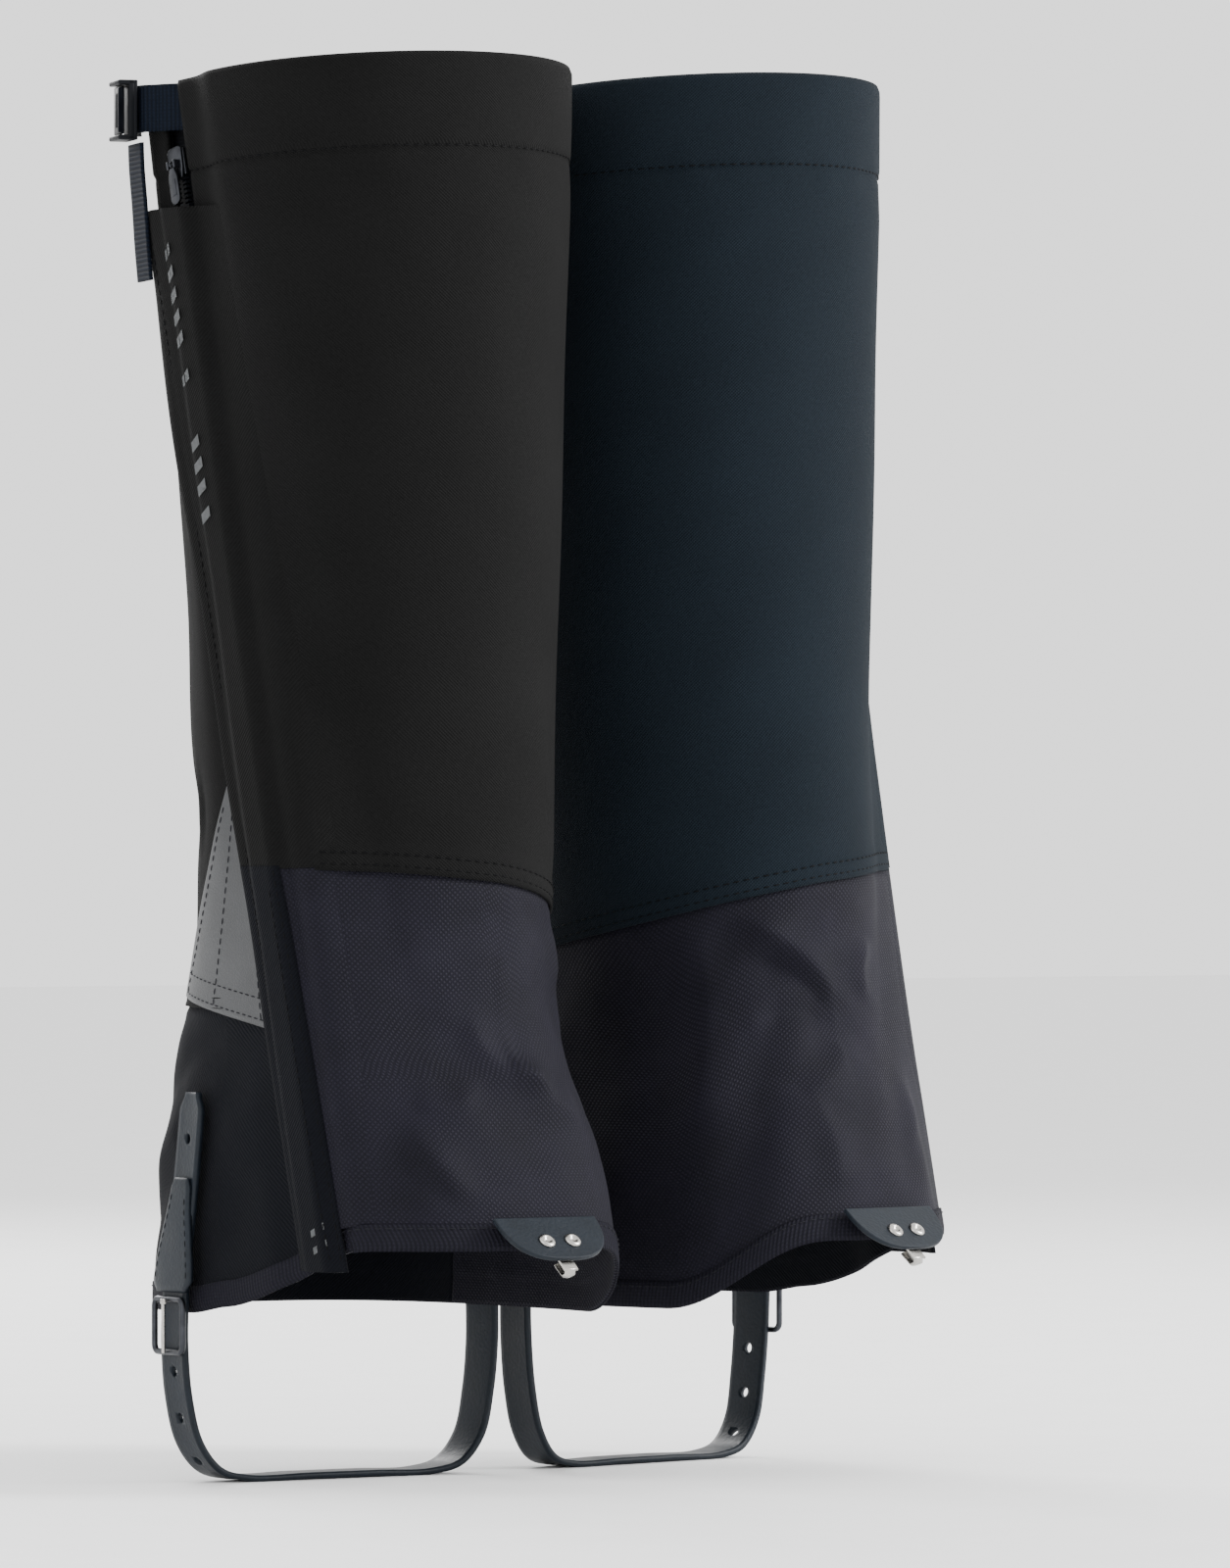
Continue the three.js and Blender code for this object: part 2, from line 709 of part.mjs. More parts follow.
// The prong turns on the same bar, in front of the frame, and clears the patch above as it lifts.
function buckleProng() {
  const front = BUCKLE.wire * 0.4 + 0.66;
  return join(
    block([-1.1, 1.1], [front, front + 1.2], [-BUCKLE.height + 0.6, 0.9]),
    block([-1.6, 1.6], [front, front + 1.3], [-1.6, 0.4]),
  );
}

// ---- lace tab at the front of the hem; the middle of its upper edge is the origin ----
function laceTab() {
  const half = TAB.width / 2;
  const outline = new THREE.Shape();
  outline.moveTo(-half, 0);
  outline.lineTo(half, 0);
  outline.bezierCurveTo(half - 1, -TAB.drop * 0.75, half * 0.5, -TAB.drop, 0, -TAB.drop);
  outline.bezierCurveTo(-half * 0.5, -TAB.drop, -half + 1, -TAB.drop * 0.75, -half, 0);
  const depth = TAB.thick;
  const tab = new THREE.ExtrudeGeometry(outline, { depth, bevelEnabled: false, curveSegments: 8 });
  tab.rotateX(Math.PI / 2).translate(0, TAB.thick / 2, 0);
  return cut(tab, ...[-1, 1].map((s) => tabRivet(s, RIVET.shank + 0.3, 4)));
}

function tabRivet(side, radius, reach) {
  return bar(radius, "y", -reach, reach, [side * 5.6, -12.5], 10);
}

function laceHook() {
  const back = -TAB.thick / 2 - 0.4;
  const front = TAB.thick / 2 + 0.4;
  const heads = [-1, 1].map((s) =>
    bar(RIVET.head * 0.85, "y", front, front + RIVET.headHeight, [s * 5.6, -12.5], 12),
  );
  return join(
    block([-9.5, 9.5], [back - 1, back], [-16, -9.5]),
    ...[-1, 1].map((s) => bar(RIVET.shank, "y", back - 0.5, front + 0.5, [s * 5.6, -12.5], 10)),
    ...heads,
    block([-3, 3], [back - 1, back], [-24.5, -15.9]),
    block([-3, 3], [back - 4.4, back - 0.9], [-24.5, -23.5]),
    block([-3, 3], [back - 4.4, back - 3.4], [-23.6, -18]),
  );
}

// ---- one gaiter, the right one: outer side at -X ----
function addZip(gaiter, side) {
  const { group, length } = zipFrame();
  group.add(named(side + "_zip_tape_front", zipTape(length, -1), "lining"));
  group.add(named(side + "_zip_tape_rear", zipTape(length, 1), "lining"));
  group.add(named(side + "_zip_box", zipBox(), "plastic"));
  const slider = named(side + "_zip_slider", zipSlider(), "steel");
  slider.position.z = length - SLIDER.restBelowTop;
  const pull = named(side + "_zip_pull", zipPull(), "steel");
  pull.position.set(0, TAPE.rowHigh + 0.5 + SLIDER.plate + 1.4, 5.5);
  slider.add(pull);
  group.add(slider);
  gaiter.add(group);
}

function addTopBuckle(gaiter, side) {
  const group = standOn(BUCKLE_ANGLE, STRAP_CENTRE, BUCKLE_OUT + 2.2);
  group.add(named(side + "_top_buckle_frame", camBuckleFrame(), "plastic"));
  const lever = named(side + "_top_buckle_lever", camLever(), "steel");
  lever.position.set(4, 3.2, 0);
  group.add(lever);
  const tail = named(side + "_top_strap_tail", strapTail(), "webbing");
  tail.position.set(0, -2.4, -WEBBING.width / 2 - 3.4);
  group.add(tail);
  gaiter.add(group);
}

function addInstepBuckle(gaiter, side) {
  const group = standOn(outerAngle(29, 66), 66, INSTEP.standOff + INSTEP.thick / 2 + 1.8);
  group.add(named(side + "_buckle_frame", buckleFrame(), "steel"));
  group.add(named(side + "_buckle_prong", buckleProng(), "steel"));
  gaiter.add(group);
}

function addLaceTab(gaiter, side) {
  const group = new THREE.Group();
  group.position.copy(onLeg(0, hemHeight(0) + BINDING_DEPTH + 1, 3.2));
  group.rotation.x = -TAB.slope;
  const faced = new THREE.Group();
  faced.rotation.z = Math.PI;
  faced.add(named(side + "_lace_tab", laceTab(), "rubber"));
  faced.add(named(side + "_lace_hook", laceHook(), "steel"));
  group.add(faced);
  gaiter.add(group);
}

function gaiter(side) {
  const whole = new THREE.Group();
  whole.add(named(side + "_upper_shell", upperShell(), "softshell"));
  whole.add(named(side + "_lower_front_panel", lowerFrontPanel(), "ripstop"));
  whole.add(named(side + "_heel_panel", heelPanel(), "softshell"));
  whole.add(named(side + "_top_hem", topHem(), "lining"));
  whole.add(named(side + "_bottom_hem", bottomHem(), "webbing"));
  whole.add(named(side + "_ankle_elastic", ankleElastic(), "lining"));
  whole.add(named(side + "_reflective_triangle", reflectiveTriangle(), "reflective"));
  addZip(whole, side);
  whole.add(named(side + "_flap", flap(), "softshell"));
  whole.add(named(side + "_flap_lower_panel", flapLowerPanel(), "ripstop"));
  whole.add(named(side + "_hook_strip", touchStrip(SHELL / 2 + LAYER_GAP + 0.4), "touch"));
  whole.add(named(side + "_loop_strip", touchStrip(SHELL / 2 + LAYER_GAP + 1.6), "touch"));
  whole.add(named(side + "_top_strap", topStrap(), "webbing"));
  addTopBuckle(whole, side);
  whole.add(named(side + "_side_patch", sidePatch(), "rubber"));
  whole.add(named(side + "_instep_strap", instepStrap(), "rubber"));
  addInstepBuckle(whole, side);
  whole.add(named(side + "_inner_anchor", innerAnchor(), "rubber"));
  const anchorRivet = named(side + "_anchor_rivet", rivet(), "steel");
  rivetPlace().add(anchorRivet);
  whole.add(anchorRivet.parent);
  addLaceTab(whole, side);
  return whole;
}

const group = new THREE.Group();
const right = gaiter("right");
right.rotation.z = -TOE_OUT;
right.position.x = -LEG_SPACING / 2;
const left = new THREE.Group();
const mirrored = gaiter("left");
mirrored.scale.x = -1;
left.add(mirrored);
left.rotation.z = TOE_OUT;
left.position.x = LEG_SPACING / 2;
group.add(right, left);

export default group;
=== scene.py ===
"""A worn pair of knee-high hiking gaiters: cloth, stitching, zip, straps and buckles round the CAD frame.

Shapes are worked out in millimetres in one gaiter's own frame (leg axis up Z, toes along -Y, outer side at
-X, as the right one is) and then set in the row's frame in metres; the left gaiter is the mirror image.
"""
import math
import random

import bmesh
import bpy
import numpy as np
from mathutils import Matrix, Vector


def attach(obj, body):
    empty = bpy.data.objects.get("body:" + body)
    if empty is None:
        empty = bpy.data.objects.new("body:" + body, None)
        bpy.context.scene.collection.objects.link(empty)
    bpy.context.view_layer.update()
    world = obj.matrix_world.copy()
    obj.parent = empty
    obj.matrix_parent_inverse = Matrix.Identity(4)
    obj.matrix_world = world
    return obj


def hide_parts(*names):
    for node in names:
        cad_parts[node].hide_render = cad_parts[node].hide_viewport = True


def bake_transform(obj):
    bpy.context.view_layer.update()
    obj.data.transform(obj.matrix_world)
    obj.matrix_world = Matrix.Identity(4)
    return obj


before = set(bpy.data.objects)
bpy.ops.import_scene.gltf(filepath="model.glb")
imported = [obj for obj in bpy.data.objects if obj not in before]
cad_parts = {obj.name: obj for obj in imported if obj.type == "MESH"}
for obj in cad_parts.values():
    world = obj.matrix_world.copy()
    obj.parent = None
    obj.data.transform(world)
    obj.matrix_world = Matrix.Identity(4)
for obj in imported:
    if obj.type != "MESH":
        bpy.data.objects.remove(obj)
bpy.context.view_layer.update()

# ---- driving dimensions, in millimetres ----
MM = 0.001
PER_MM = 1 / MM  # a texture scale that repeats every millimetre
LEG_SPACING = 148
TOE_OUT = math.radians(4)
SHELL = 1.3
RIM_HEIGHT = 510
RIM_RISE = 5
HEM_DEPTH = 34
HEM_LOW, HEM_LIFT, HEM_PEAK = 62, 25, math.radians(15)
BINDING = 9
SLIT = 11.4
FLAP_HINGE = 13.5
FLAP_TOP = 462
FLAP_BOTTOM = 79
FLAP_THICK = 1.1
FLAP_LAP = 18
BAND_WIDTH = 25
FLUSH = -0.5
STRAP_CENTRE = 499
WEBBING_WIDTH, WEBBING_THICK = 17, 1.3
BUCKLE_ANGLE = math.radians(127)
BUCKLE_OUT = 5.5
INSTEP_WIDTH, INSTEP_THICK, INSTEP_OUT, INSTEP_PITCH = 16, 2.2, 4.3, 17
HOLE_STEPS, HOLE_RADIUS = (1, 2.1, 3.2, 6, 7, 8), 2  # steps along the strap in pitches
STITCH_LENGTH, STITCH_GAP, STITCH_RADIUS = 2.6, 1.2, 0.28
ELASTIC_HEIGHT, ELASTIC_WIDTH = 244, 12
TRIANGLE_LOW, TRIANGLE_HIGH = 172, 252
TOOTH_PITCH = 1.7
SLIDER_DROP = 13  # from the zip's top to the foot of the closed slider
TOUCH_LOW, TOUCH_WIDTH = 94, 18
BAR_HEIGHTS = (446, 438, 430, 422, 414, 400, 376, 368, 360, 350)
FOOT_MARK_HEIGHTS = (94, 88)
KEEPER_LOW, KEEPER_HIGH, KEEPER_FOOT_Y, KEEPER_TOP_Y = 69, 110, 28.5, 22
ANCHOR_LOW, ANCHOR_HIGH, ANCHOR_Y = 74, 110, 22
PATCH_THICK = 1.8
PIN_BUCKLE_Y, PIN_BUCKLE_HEIGHT = 29, 66
TAB_WIDTH, TAB_DROP, TAB_THICK = 44, 21, 1.8
SIDES = ("right", "left")

# Horizontal sections of the worn tube: height, reach to the outer side, to the inner side, forward and
# back, and how square the outer front quarter and the rest are.
SECTIONS = np.array([
    [52, 63, 60, 109, 87, 2.8, 2.8],
    [80, 63, 61, 108, 86, 2.8, 2.8],
    [110, 62, 60, 100, 82, 2.8, 2.8],
    [135, 61, 57, 91, 79, 2.8, 2.7],
    [155, 60, 53, 83, 77, 2.7, 2.4],
    [172, 60, 51, 79, 74, 2.6, 2.2],
    [195, 61, 54, 77, 66, 2.4, 2.1],
    [222, 62, 58, 76, 64, 2.2, 2],
    [244, 63, 60, 75, 60, 2.1, 2],
    [262, 63.5, 61, 75, 67, 2, 2],
    [320, 65, 64, 74, 72, 2, 2],
    [400, 68, 67, 74, 79, 2, 2],
    [460, 70, 69, 75, 81, 2, 2],
    [520, 71, 70, 75, 77, 2, 2],
])
ZIP_BOTTOM = np.array([-58.5, -58, 88])
ZIP_TOP = np.array([-66, 28, 485])
FLAT_HALF, FLAT_FADE = 14, 34  # the tube is flat near the zip, and round again further off
SEAM = np.array([
    [-300, 172], [-180, 174], [-140, 184], [-98, 195], [-60, 205],
    [-25, 215], [15, 221], [50, 223], [90, 223],
])
INNER_SEAM = math.radians(-105)
FLAP_EDGE_LOW, FLAP_EDGE_HIGH = (-46, 86), (47, FLAP_TOP)


# ---- the surface of the worn tube, on whole arrays of points ----
def smoothstep(x, low, high):
    t = np.clip((np.asarray(x, float) - low) / (high - low), 0, 1)
    return t * t * (3 - 2 * t)


def lerp(a, b, t):
    return a + (b - a) * t


def section(z):
    """The section's six values at each height, on a smooth curve through the table's rows."""
    z = np.clip(z, SECTIONS[0, 0], SECTIONS[-1, 0])
    heights, values = SECTIONS[:, 0], SECTIONS[:, 1:]
    i = np.clip(np.searchsorted(heights, z, side="right") - 1, 0, len(heights) - 2)
    slopes = np.gradient(values, heights, axis=0)
    span = (heights[i + 1] - heights[i])
    t = (z - heights[i]) / span
    t, span = t[:, None], span[:, None]
    start = (2 * t**3 - 3 * t**2 + 1) * values[i] + (t**3 - 2 * t**2 + t) * span * slopes[i]
    end = (3 * t**2 - 2 * t**3) * values[i + 1] + (t**3 - t**2) * span * slopes[i + 1]
    return (start + end).T


def zip_line(z):
    t = ((np.asarray(z, float) - ZIP_BOTTOM[2]) / (ZIP_TOP[2] - ZIP_BOTTOM[2]))[:, None]
    return ZIP_BOTTOM + (ZIP_TOP - ZIP_BOTTOM) * t


def surface(phi, z):
    outer, inner, front, rear, outer_front_square, square = section(z)
    s, c = np.sin(phi), np.cos(phi)
    power = 2 / np.where((s > 0) & (c > 0), outer_front_square, square)
    x = np.where(s > 0, -outer, inner) * np.abs(s) ** power
    y = np.where(c > 0, -front, rear) * np.abs(c) ** power
    flat = 1 - smoothstep(np.abs(y - zip_line(z)[:, 1]), FLAT_HALF, FLAT_FADE)
    x = np.where(s > 0, lerp(x, zip_line(z)[:, 0], flat), x)
    return np.stack([x, y, z], axis=1)


def on_leg(phi, z, out=0):
    """Points over the surface: angle from the front towards the outer side, height, distance outwards."""
    phi, z, out = np.broadcast_arrays(*(np.asarray(a, float).ravel() for a in (phi, z, out)))
    step = 0.01
    around = surface(phi + step, z) - surface(phi - step, z)
    up = surface(phi, z + 1) - surface(phi, z - 1)
    normal = np.cross(up, around)
    normal /= np.linalg.norm(normal, axis=1)[:, None]
    return surface(phi, z) + normal * out[:, None]


def outer_angle(y, z):
    """The angle at which the outer side of the tube reaches a given y."""
    y, z = np.broadcast_arrays(*(np.asarray(a, float).ravel() for a in (y, z)))
    _, _, front, rear, outer_front_square, square = section(z)
    reach = np.where(y < 0, front, rear)
    power = np.where(y < 0, outer_front_square, square) / 2
    c = np.clip(np.abs(y) / reach, 0, 1) ** power
    return np.arccos(np.where(y < 0, c, -c))


def zip_side(z, across):
    return outer_angle(zip_line(np.ravel(z))[:, 1] + across, z)


def rim_height(phi):
    return RIM_HEIGHT + RIM_RISE * np.cos(phi)


def hem_height(phi):
    return HEM_LOW + HEM_LIFT * smoothstep(np.cos(phi - HEM_PEAK), 0.1, 0.85)


def seam_height(phi):
    """A gently curved seam: the table's straight stretches with their corners rounded."""
    degrees = np.degrees(np.asarray(phi, float))
    spread = [np.interp(degrees + d, SEAM[:, 0], SEAM[:, 1]) for d in (-20, -10, 0, 10, 20)]
    return np.mean(spread, axis=0)


def flap_edge(z):
    t = (np.asarray(z, float) - FLAP_EDGE_LOW[1]) / (FLAP_EDGE_HIGH[1] - FLAP_EDGE_LOW[1])
    return lerp(FLAP_EDGE_LOW[0], FLAP_EDGE_HIGH[0], t)


# ---- folds of the cloth ----
# Each crease: start angle and height, end angle and height, half width in mm, how far it stands out.
CREASES = {
    "right": [
        (68, 176, 14, 104, 8, 2.4),
        (66, 181, 10, 163, 9, -2.2),
        (52, 130, 26, 98, 6, 2.0),
        (48, 142, 24, 108, 6, -1.8),
        (34, 132, 18, 104, 6, 1.4),
        (8, 168, -8, 142, 6, 2.6),
        (-2, 150, -24, 132, 8, 2.2),
        (30, 139, 8, 143, 5, 1.3),
        (70, 204, 62, 198, 4, 1.2),
        (104, 474, 88, 446, 9, 1.6),
        (100, 462, 84, 430, 10, -1.2),
        (-40, 196, -70, 150, 9, 2.0),
        (-55, 150, -88, 110, 9, -2.0),
        (-70, 190, -100, 170, 7, 1.6),
    ],
    "left": [
        (-34, 204, 4, 172, 7, 2.2),
        (-32, 190, 2, 168, 8, -2.0),
        (12, 175, 16, 196, 6, 1.8),
        (2, 160, -14, 140, 8, 1.6),
        (-14, 140, -12, 100, 8, 1.5),
        (-30, 168, 0, 165, 6, -1.6),
        (-48, 196, -56, 130, 10, 1.2),
        (-76, 190, -70, 120, 11, -1.2),
        (40, 170, 20, 120, 9, 2.0),
        (60, 160, 44, 104, 8, -1.8),
        (104, 474, 88, 446, 9, 1.6),
    ],
}
CREASE_DEPTH = 1.7
ANKLE_ARC = 66  # mean radius used to turn an angle into a length along the cloth


def ripples(phi, z, seed, sizes, height):
    """Soft irregular waves: a few sine waves of mixed directions, from a seeded draw."""
    draw = random.Random(seed)
    total = np.zeros_like(z)
    for size in sizes:
        turn, shift = draw.uniform(0, math.pi), draw.uniform(0, 2 * math.pi)
        along = phi * ANKLE_ARC * math.cos(turn) + z * math.sin(turn)
        total += np.sin(2 * math.pi * along / size + shift)
    return height * total / math.sqrt(len(sizes))


def creases(side, phi, z):
    total = np.zeros_like(z)
    s = phi * ANKLE_ARC
    for phi_0, z_0, phi_1, z_1, width, height in CREASES[side]:
        a = np.array([math.radians(phi_0) * ANKLE_ARC, z_0])
        b = np.array([math.radians(phi_1) * ANKLE_ARC, z_1])
        run = b - a
        t = ((s - a[0]) * run[0] + (z - a[1]) * run[1]) / (run @ run)
        aside = ((s - a[0]) * run[1] - (z - a[1]) * run[0]) / np.linalg.norm(run)
        aside = aside + 3.5 * np.sin(math.pi * np.clip(t, 0, 1))
        end = smoothstep(t, -0.15, 0.25) * (1 - smoothstep(t, 0.7, 1.15))
        total += CREASE_DEPTH * height * end * np.exp(-np.abs(aside / width) ** 1.5)
    return total


def cinch(phi, z):
    """Gathers over the ankle elastic at the back, dying away above and below it."""
    behind = smoothstep(np.cos(phi), 0.1, -0.6)
    near = np.exp(-(((z - ELASTIC_HEIGHT) / 13) ** 2))
    pleats = np.sin(phi * 26) + 0.5 * np.sin(phi * 41 + 1)
    return behind * near * (0.8 * pleats - 0.4)


def calm(phi, z):
    """1 where the cloth is free, 0 where the zip, straps and patches hold it flat."""
    turned = (phi + math.pi) % (2 * math.pi) - math.pi
    y = surface(turned, z)[:, 1]
    outer = np.sin(turned) > 0
    at_zip = np.where(outer, smoothstep(np.abs(y - zip_line(z)[:, 1]), 27, 46), 1)
    strap = (1 - smoothstep(z, 108, 130)) * (1 - smoothstep(np.abs(y - 25), 16, 30))
    strap = np.maximum(strap, (1 - smoothstep(z, 140, 156)) * (1 - smoothstep(np.abs(y - 22), 10, 22)))
    tab = (1 - smoothstep(z, 92, 112)) * (1 - smoothstep(np.abs(turned), 0.35, 0.6))
    return at_zip * (1 - strap) * (1 - 0.8 * tab)


def lower_folds(side, phi, z):
    free = smoothstep(z, hem_height(phi) + 3, hem_height(phi) + 26)
    free = free * smoothstep(seam_height(phi) - z, 1, 14)
    waves = ripples(phi, z, 11 + len(side), (34, 47, 61, 29, 53), 0.75)
    fine = ripples(phi, z, 31 + len(side), (13, 17, 21), 0.12)
    return (creases(side, phi, z) + waves + fine) * free * calm(phi, z)


def upper_folds(side, phi, z):
    free = smoothstep(z, seam_height(phi) + 2, seam_height(phi) + 22)
    free = free * smoothstep(rim_height(phi) - HEM_DEPTH - z, -3, 18)
    waves = ripples(phi, z * 0.45, 5 + len(side), (58, 83, 71, 95), 0.5)
    puckers = ripples(phi, z * 0.2, 7, (9, 13, 11), 0.16)
    near_edge = np.exp(-(((z - (rim_height(phi) - HEM_DEPTH)) / 9) ** 2))
    return ((creases(side, phi, z) + waves + cinch(phi, z)) * free + puckers * near_edge) * calm(phi, z)


# ---- from one gaiter's frame in millimetres to the row's frame in metres ----
def gaiter_matrix(side):
    mirror = -1 if side == "left" else 1
    turn = Matrix.Rotation(-mirror * TOE_OUT, 4, "Z")
    stand = Matrix.Translation((-mirror * LEG_SPACING / 2 * MM, 0, 0))
    return stand @ turn @ Matrix.Diagonal((mirror * MM, MM, MM, 1))


def stand_on(phi, z, out=0):
    """A place on the leg: x goes round towards the back on the outer side, y outwards, z up."""
    around = surface(np.array([phi + 0.01]), np.array([z])) - surface(np.array([phi - 0.01]), np.array([z]))
    x = Vector((around[0, 0], around[0, 1], 0)).normalized()
    up = Vector((0, 0, 1))
    y = up.cross(x)
    basis = Matrix((x, y, up)).transposed().to_4x4()
    return Matrix.Translation(Vector(on_leg(phi, z, out)[0])) @ basis


def zip_matrix():
    """The zip's straight frame: x across towards the back, y outwards, z up along it."""
    along = Vector(ZIP_TOP - ZIP_BOTTOM).normalized()
    outward = Vector((-along.z, 0, along.x)).normalized()
    across = outward.cross(along)
    return Matrix.Translation(Vector(ZIP_BOTTOM)) @ Matrix((across, outward, along)).transposed().to_4x4()


ZIP_LENGTH = float(np.linalg.norm(ZIP_TOP - ZIP_BOTTOM))


def finish_piece(bm, name, side, body, material, replaces=(), place=None, smooth=True):
    """Sets a bmesh made in one gaiter's frame (or at a place in it) into the row and gives it its body."""
    whole = gaiter_matrix(side) @ (place or Matrix.Identity(4))
    bm.transform(whole)
    if whole.determinant() < 0:
        bmesh.ops.reverse_faces(bm, faces=bm.faces[:])
    mesh = bpy.data.meshes.new(f"{side}_{name}")
    bm.to_mesh(mesh)
    bm.free()
    mesh.polygons.foreach_set("use_smooth", [smooth] * len(mesh.polygons))
    mesh.materials.append(MATERIALS[material])
    piece = bpy.data.objects.new(f"{side}_{name}", mesh)
    bpy.context.scene.collection.objects.link(piece)
    if body:
        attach(piece, f"{side}_{body}")
    if replaces:
        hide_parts(*[f"{side}_{node}" for node in replaces])
    return piece


def cloth_mesh(columns, rows, place, thick):
    """A grid of cloth and its flat size. place(u, v) gives its middle surface in millimetres."""
    bm = bmesh.new()
    bmesh.ops.create_grid(bm, x_segments=columns, y_segments=rows, size=0.5)
    bm.verts.ensure_lookup_table()
    bm.verts.index_update()
    uv = np.array([vert.co.xy for vert in bm.verts]) + 0.5
    points = np.asarray(place(uv[:, 0], uv[:, 1]))
    order = np.lexsort((np.round(uv[:, 0], 6), np.round(uv[:, 1], 6)))
    grid = points[order].reshape(rows + 1, columns + 1, 3)
    steps_u = np.linalg.norm(np.diff(grid, axis=1), axis=2)
    steps_v = np.linalg.norm(np.diff(grid, axis=0), axis=2)
    along_u = np.concatenate([np.zeros((rows + 1, 1)), np.cumsum(steps_u, axis=1)], axis=1)
    along_u -= along_u[:, columns // 2][:, None]
    along_v = np.concatenate([np.zeros((1, columns + 1)), np.cumsum(steps_v, axis=0)], axis=0)
    flat = np.empty((len(points), 2))
    flat[order, 0] = along_u.ravel() * MM
    flat[order, 1] = along_v.ravel() * MM
    layer = bm.loops.layers.uv.new("cloth")  # in metres on the cloth, so that a weave keeps its size
    for face in bm.faces:
        for loop in face.loops:
            loop[layer].uv = flat[loop.vert.index]
    for vert, point in zip(bm.verts, points):
        vert.co = point
    bm.normal_update()
    for vert in bm.verts:
        vert.co -= vert.normal * thick / 2
    bmesh.ops.solidify(bm, geom=bm.faces[:], thickness=-thick)
    bmesh.ops.recalc_face_normals(bm, faces=bm.faces[:])
    return bm, (float(steps_u.mean()) * columns * MM, float(steps_v.mean()) * rows * MM)


def cloth(name, side, body, material, columns, rows, place, thick, replaces=()):
    """A piece of cloth; narrower trim than the least sheet isn't declared as one."""
    bm, size = cloth_mesh(columns, rows, place, thick)
    piece = finish_piece(bm, name, side, body, material, replaces)


def leg_place(start, end, low, high, out=0, folds=None, side=None):
    """A panel between two angles and two heights, each a number or a function of the other."""
    def value(f, at):
        return f(at) if callable(f) else np.full_like(at, f, dtype=float)

    def place(u, v):
        z = lerp(value(low, np.zeros_like(v)), value(high, np.zeros_like(v)), v)
        for _ in range(6):
            phi = lerp(value(start, z), value(end, z), u)
            z = lerp(value(low, phi), value(high, phi), v)
        offset = out(phi, z) if callable(out) else np.full_like(z, out, dtype=float)
        if folds:
            offset = offset + folds(side, phi, z)
        return on_leg(phi, z, offset)

    return place


# ---- materials ----
def linear(colour):
    """An sRGB hex colour as linear red, green, blue and alpha."""
    parts = [int(colour[i:i + 2], 16) / 255 for i in (1, 3, 5)]
    return tuple(p / 12.92 if p <= 0.04045 else ((p + 0.055) / 1.055) ** 2.4 for p in parts) + (1,)


def add(tree, kind, inputs=(), out=0, **settings):
    """Adds a node and gives one output. Inputs go by name or order, each a value or an output."""
    node = tree.nodes.new("ShaderNode" + kind)
    for name, setting in settings.items():
        setattr(node, name, setting)
    for key, source in inputs.items() if isinstance(inputs, dict) else enumerate(inputs):
        if isinstance(source, bpy.types.NodeSocket):
            tree.links.new(source, node.inputs[key])
        else:
            node.inputs[key].default_value = source
    return node.outputs[out]


def start_material(name, roughness, metallic=0.0, **sockets):
    """A material with its even values on the shader; a socket's name has _ for each space."""
    material = bpy.data.materials.new(name)
    material.use_nodes = True
    shader = material.node_tree.nodes["Principled BSDF"]
    shader.inputs["Roughness"].default_value = roughness
    shader.inputs["Metallic"].default_value = metallic
    for key, setting in sockets.items():
        shader.inputs[key.replace("_", " ")].default_value = setting
    return material, material.node_tree, shader


def dress(tree, shader, dark, light, tone, height=None, depth_mm=0.0):
    """Colours a material between two tones, and gives it relief of a depth."""
    two_tones = {"Factor": tone, "A": linear(dark), "B": linear(light)}
    tree.links.new(add(tree, "Mix", two_tones, "Result", data_type="RGBA"), shader.inputs["Base Color"])
    if height is not None:
        bump = add(tree, "Bump", {"Height": height, "Strength": 1.0, "Distance": depth_mm * MM})
        tree.links.new(bump, shader.inputs["Normal"])


def weigh(tree, start, *parts):
    """A start value plus each pattern times its weight."""
    total = start
    for pattern, weight in parts:
        total = add(tree, "Math", [pattern, weight, total], operation="MULTIPLY_ADD")
    return total


def thread_wave(tree, coordinate, spacing_mm):
    """Rises and falls from 0 to 1 once every spacing_mm along a coordinate in metres."""
    turn = add(tree, "Math", [coordinate, 2 * math.pi / (spacing_mm * MM)], operation="MULTIPLY")
    return weigh(tree, 0.5, (add(tree, "Math", [turn], operation="SINE"), 0.5))


def cloth_coordinates(tree):
    uv = add(tree, "UVMap", uv_map="cloth")
    return uv, add(tree, "SeparateXYZ", [uv], "X"), add(tree, "SeparateXYZ", [uv], "Y")


def diagonals(tree, across, along):
    rising = weigh(tree, 0.0, (across, 1.0), (along, 1.0))
    falling = weigh(tree, 0.0, (across, 1.0), (along, -1.0))
    return rising, falling


def softshell(name, dark, light):
    """Softshell twill, woven from textured polyester: matt, with fine steep ribs and a slight melange."""
    material, tree, shader = start_material(
        name, 0.82, Sheen_Weight=0.015, Sheen_Roughness=0.5, Specular_IOR_Level=0.05
    )
    uv, across, along = cloth_coordinates(tree)
    rising, falling = diagonals(tree, across, along)
    rib = thread_wave(tree, rising, 1.5)  # real ribs are 0.6 mm apart, drawn wider so that they show
    yarn = thread_wave(tree, falling, 1.0)
    melange = add(tree, "TexNoise", {"Vector": uv, "Scale": PER_MM / 1.6, "Detail": 3.0})
    cloud = add(tree, "TexNoise", {"Vector": uv, "Scale": PER_MM / 45, "Detail": 3.0})
    tone = weigh(tree, -0.15, (melange, 0.45), (cloud, 0.45), (rib, 0.25))
    weave = weigh(tree, 0.0, (rib, 1.0), (yarn, 0.4), (melange, 0.8))
    dress(tree, shader, dark, light, tone, weave, 0.16)
    return material


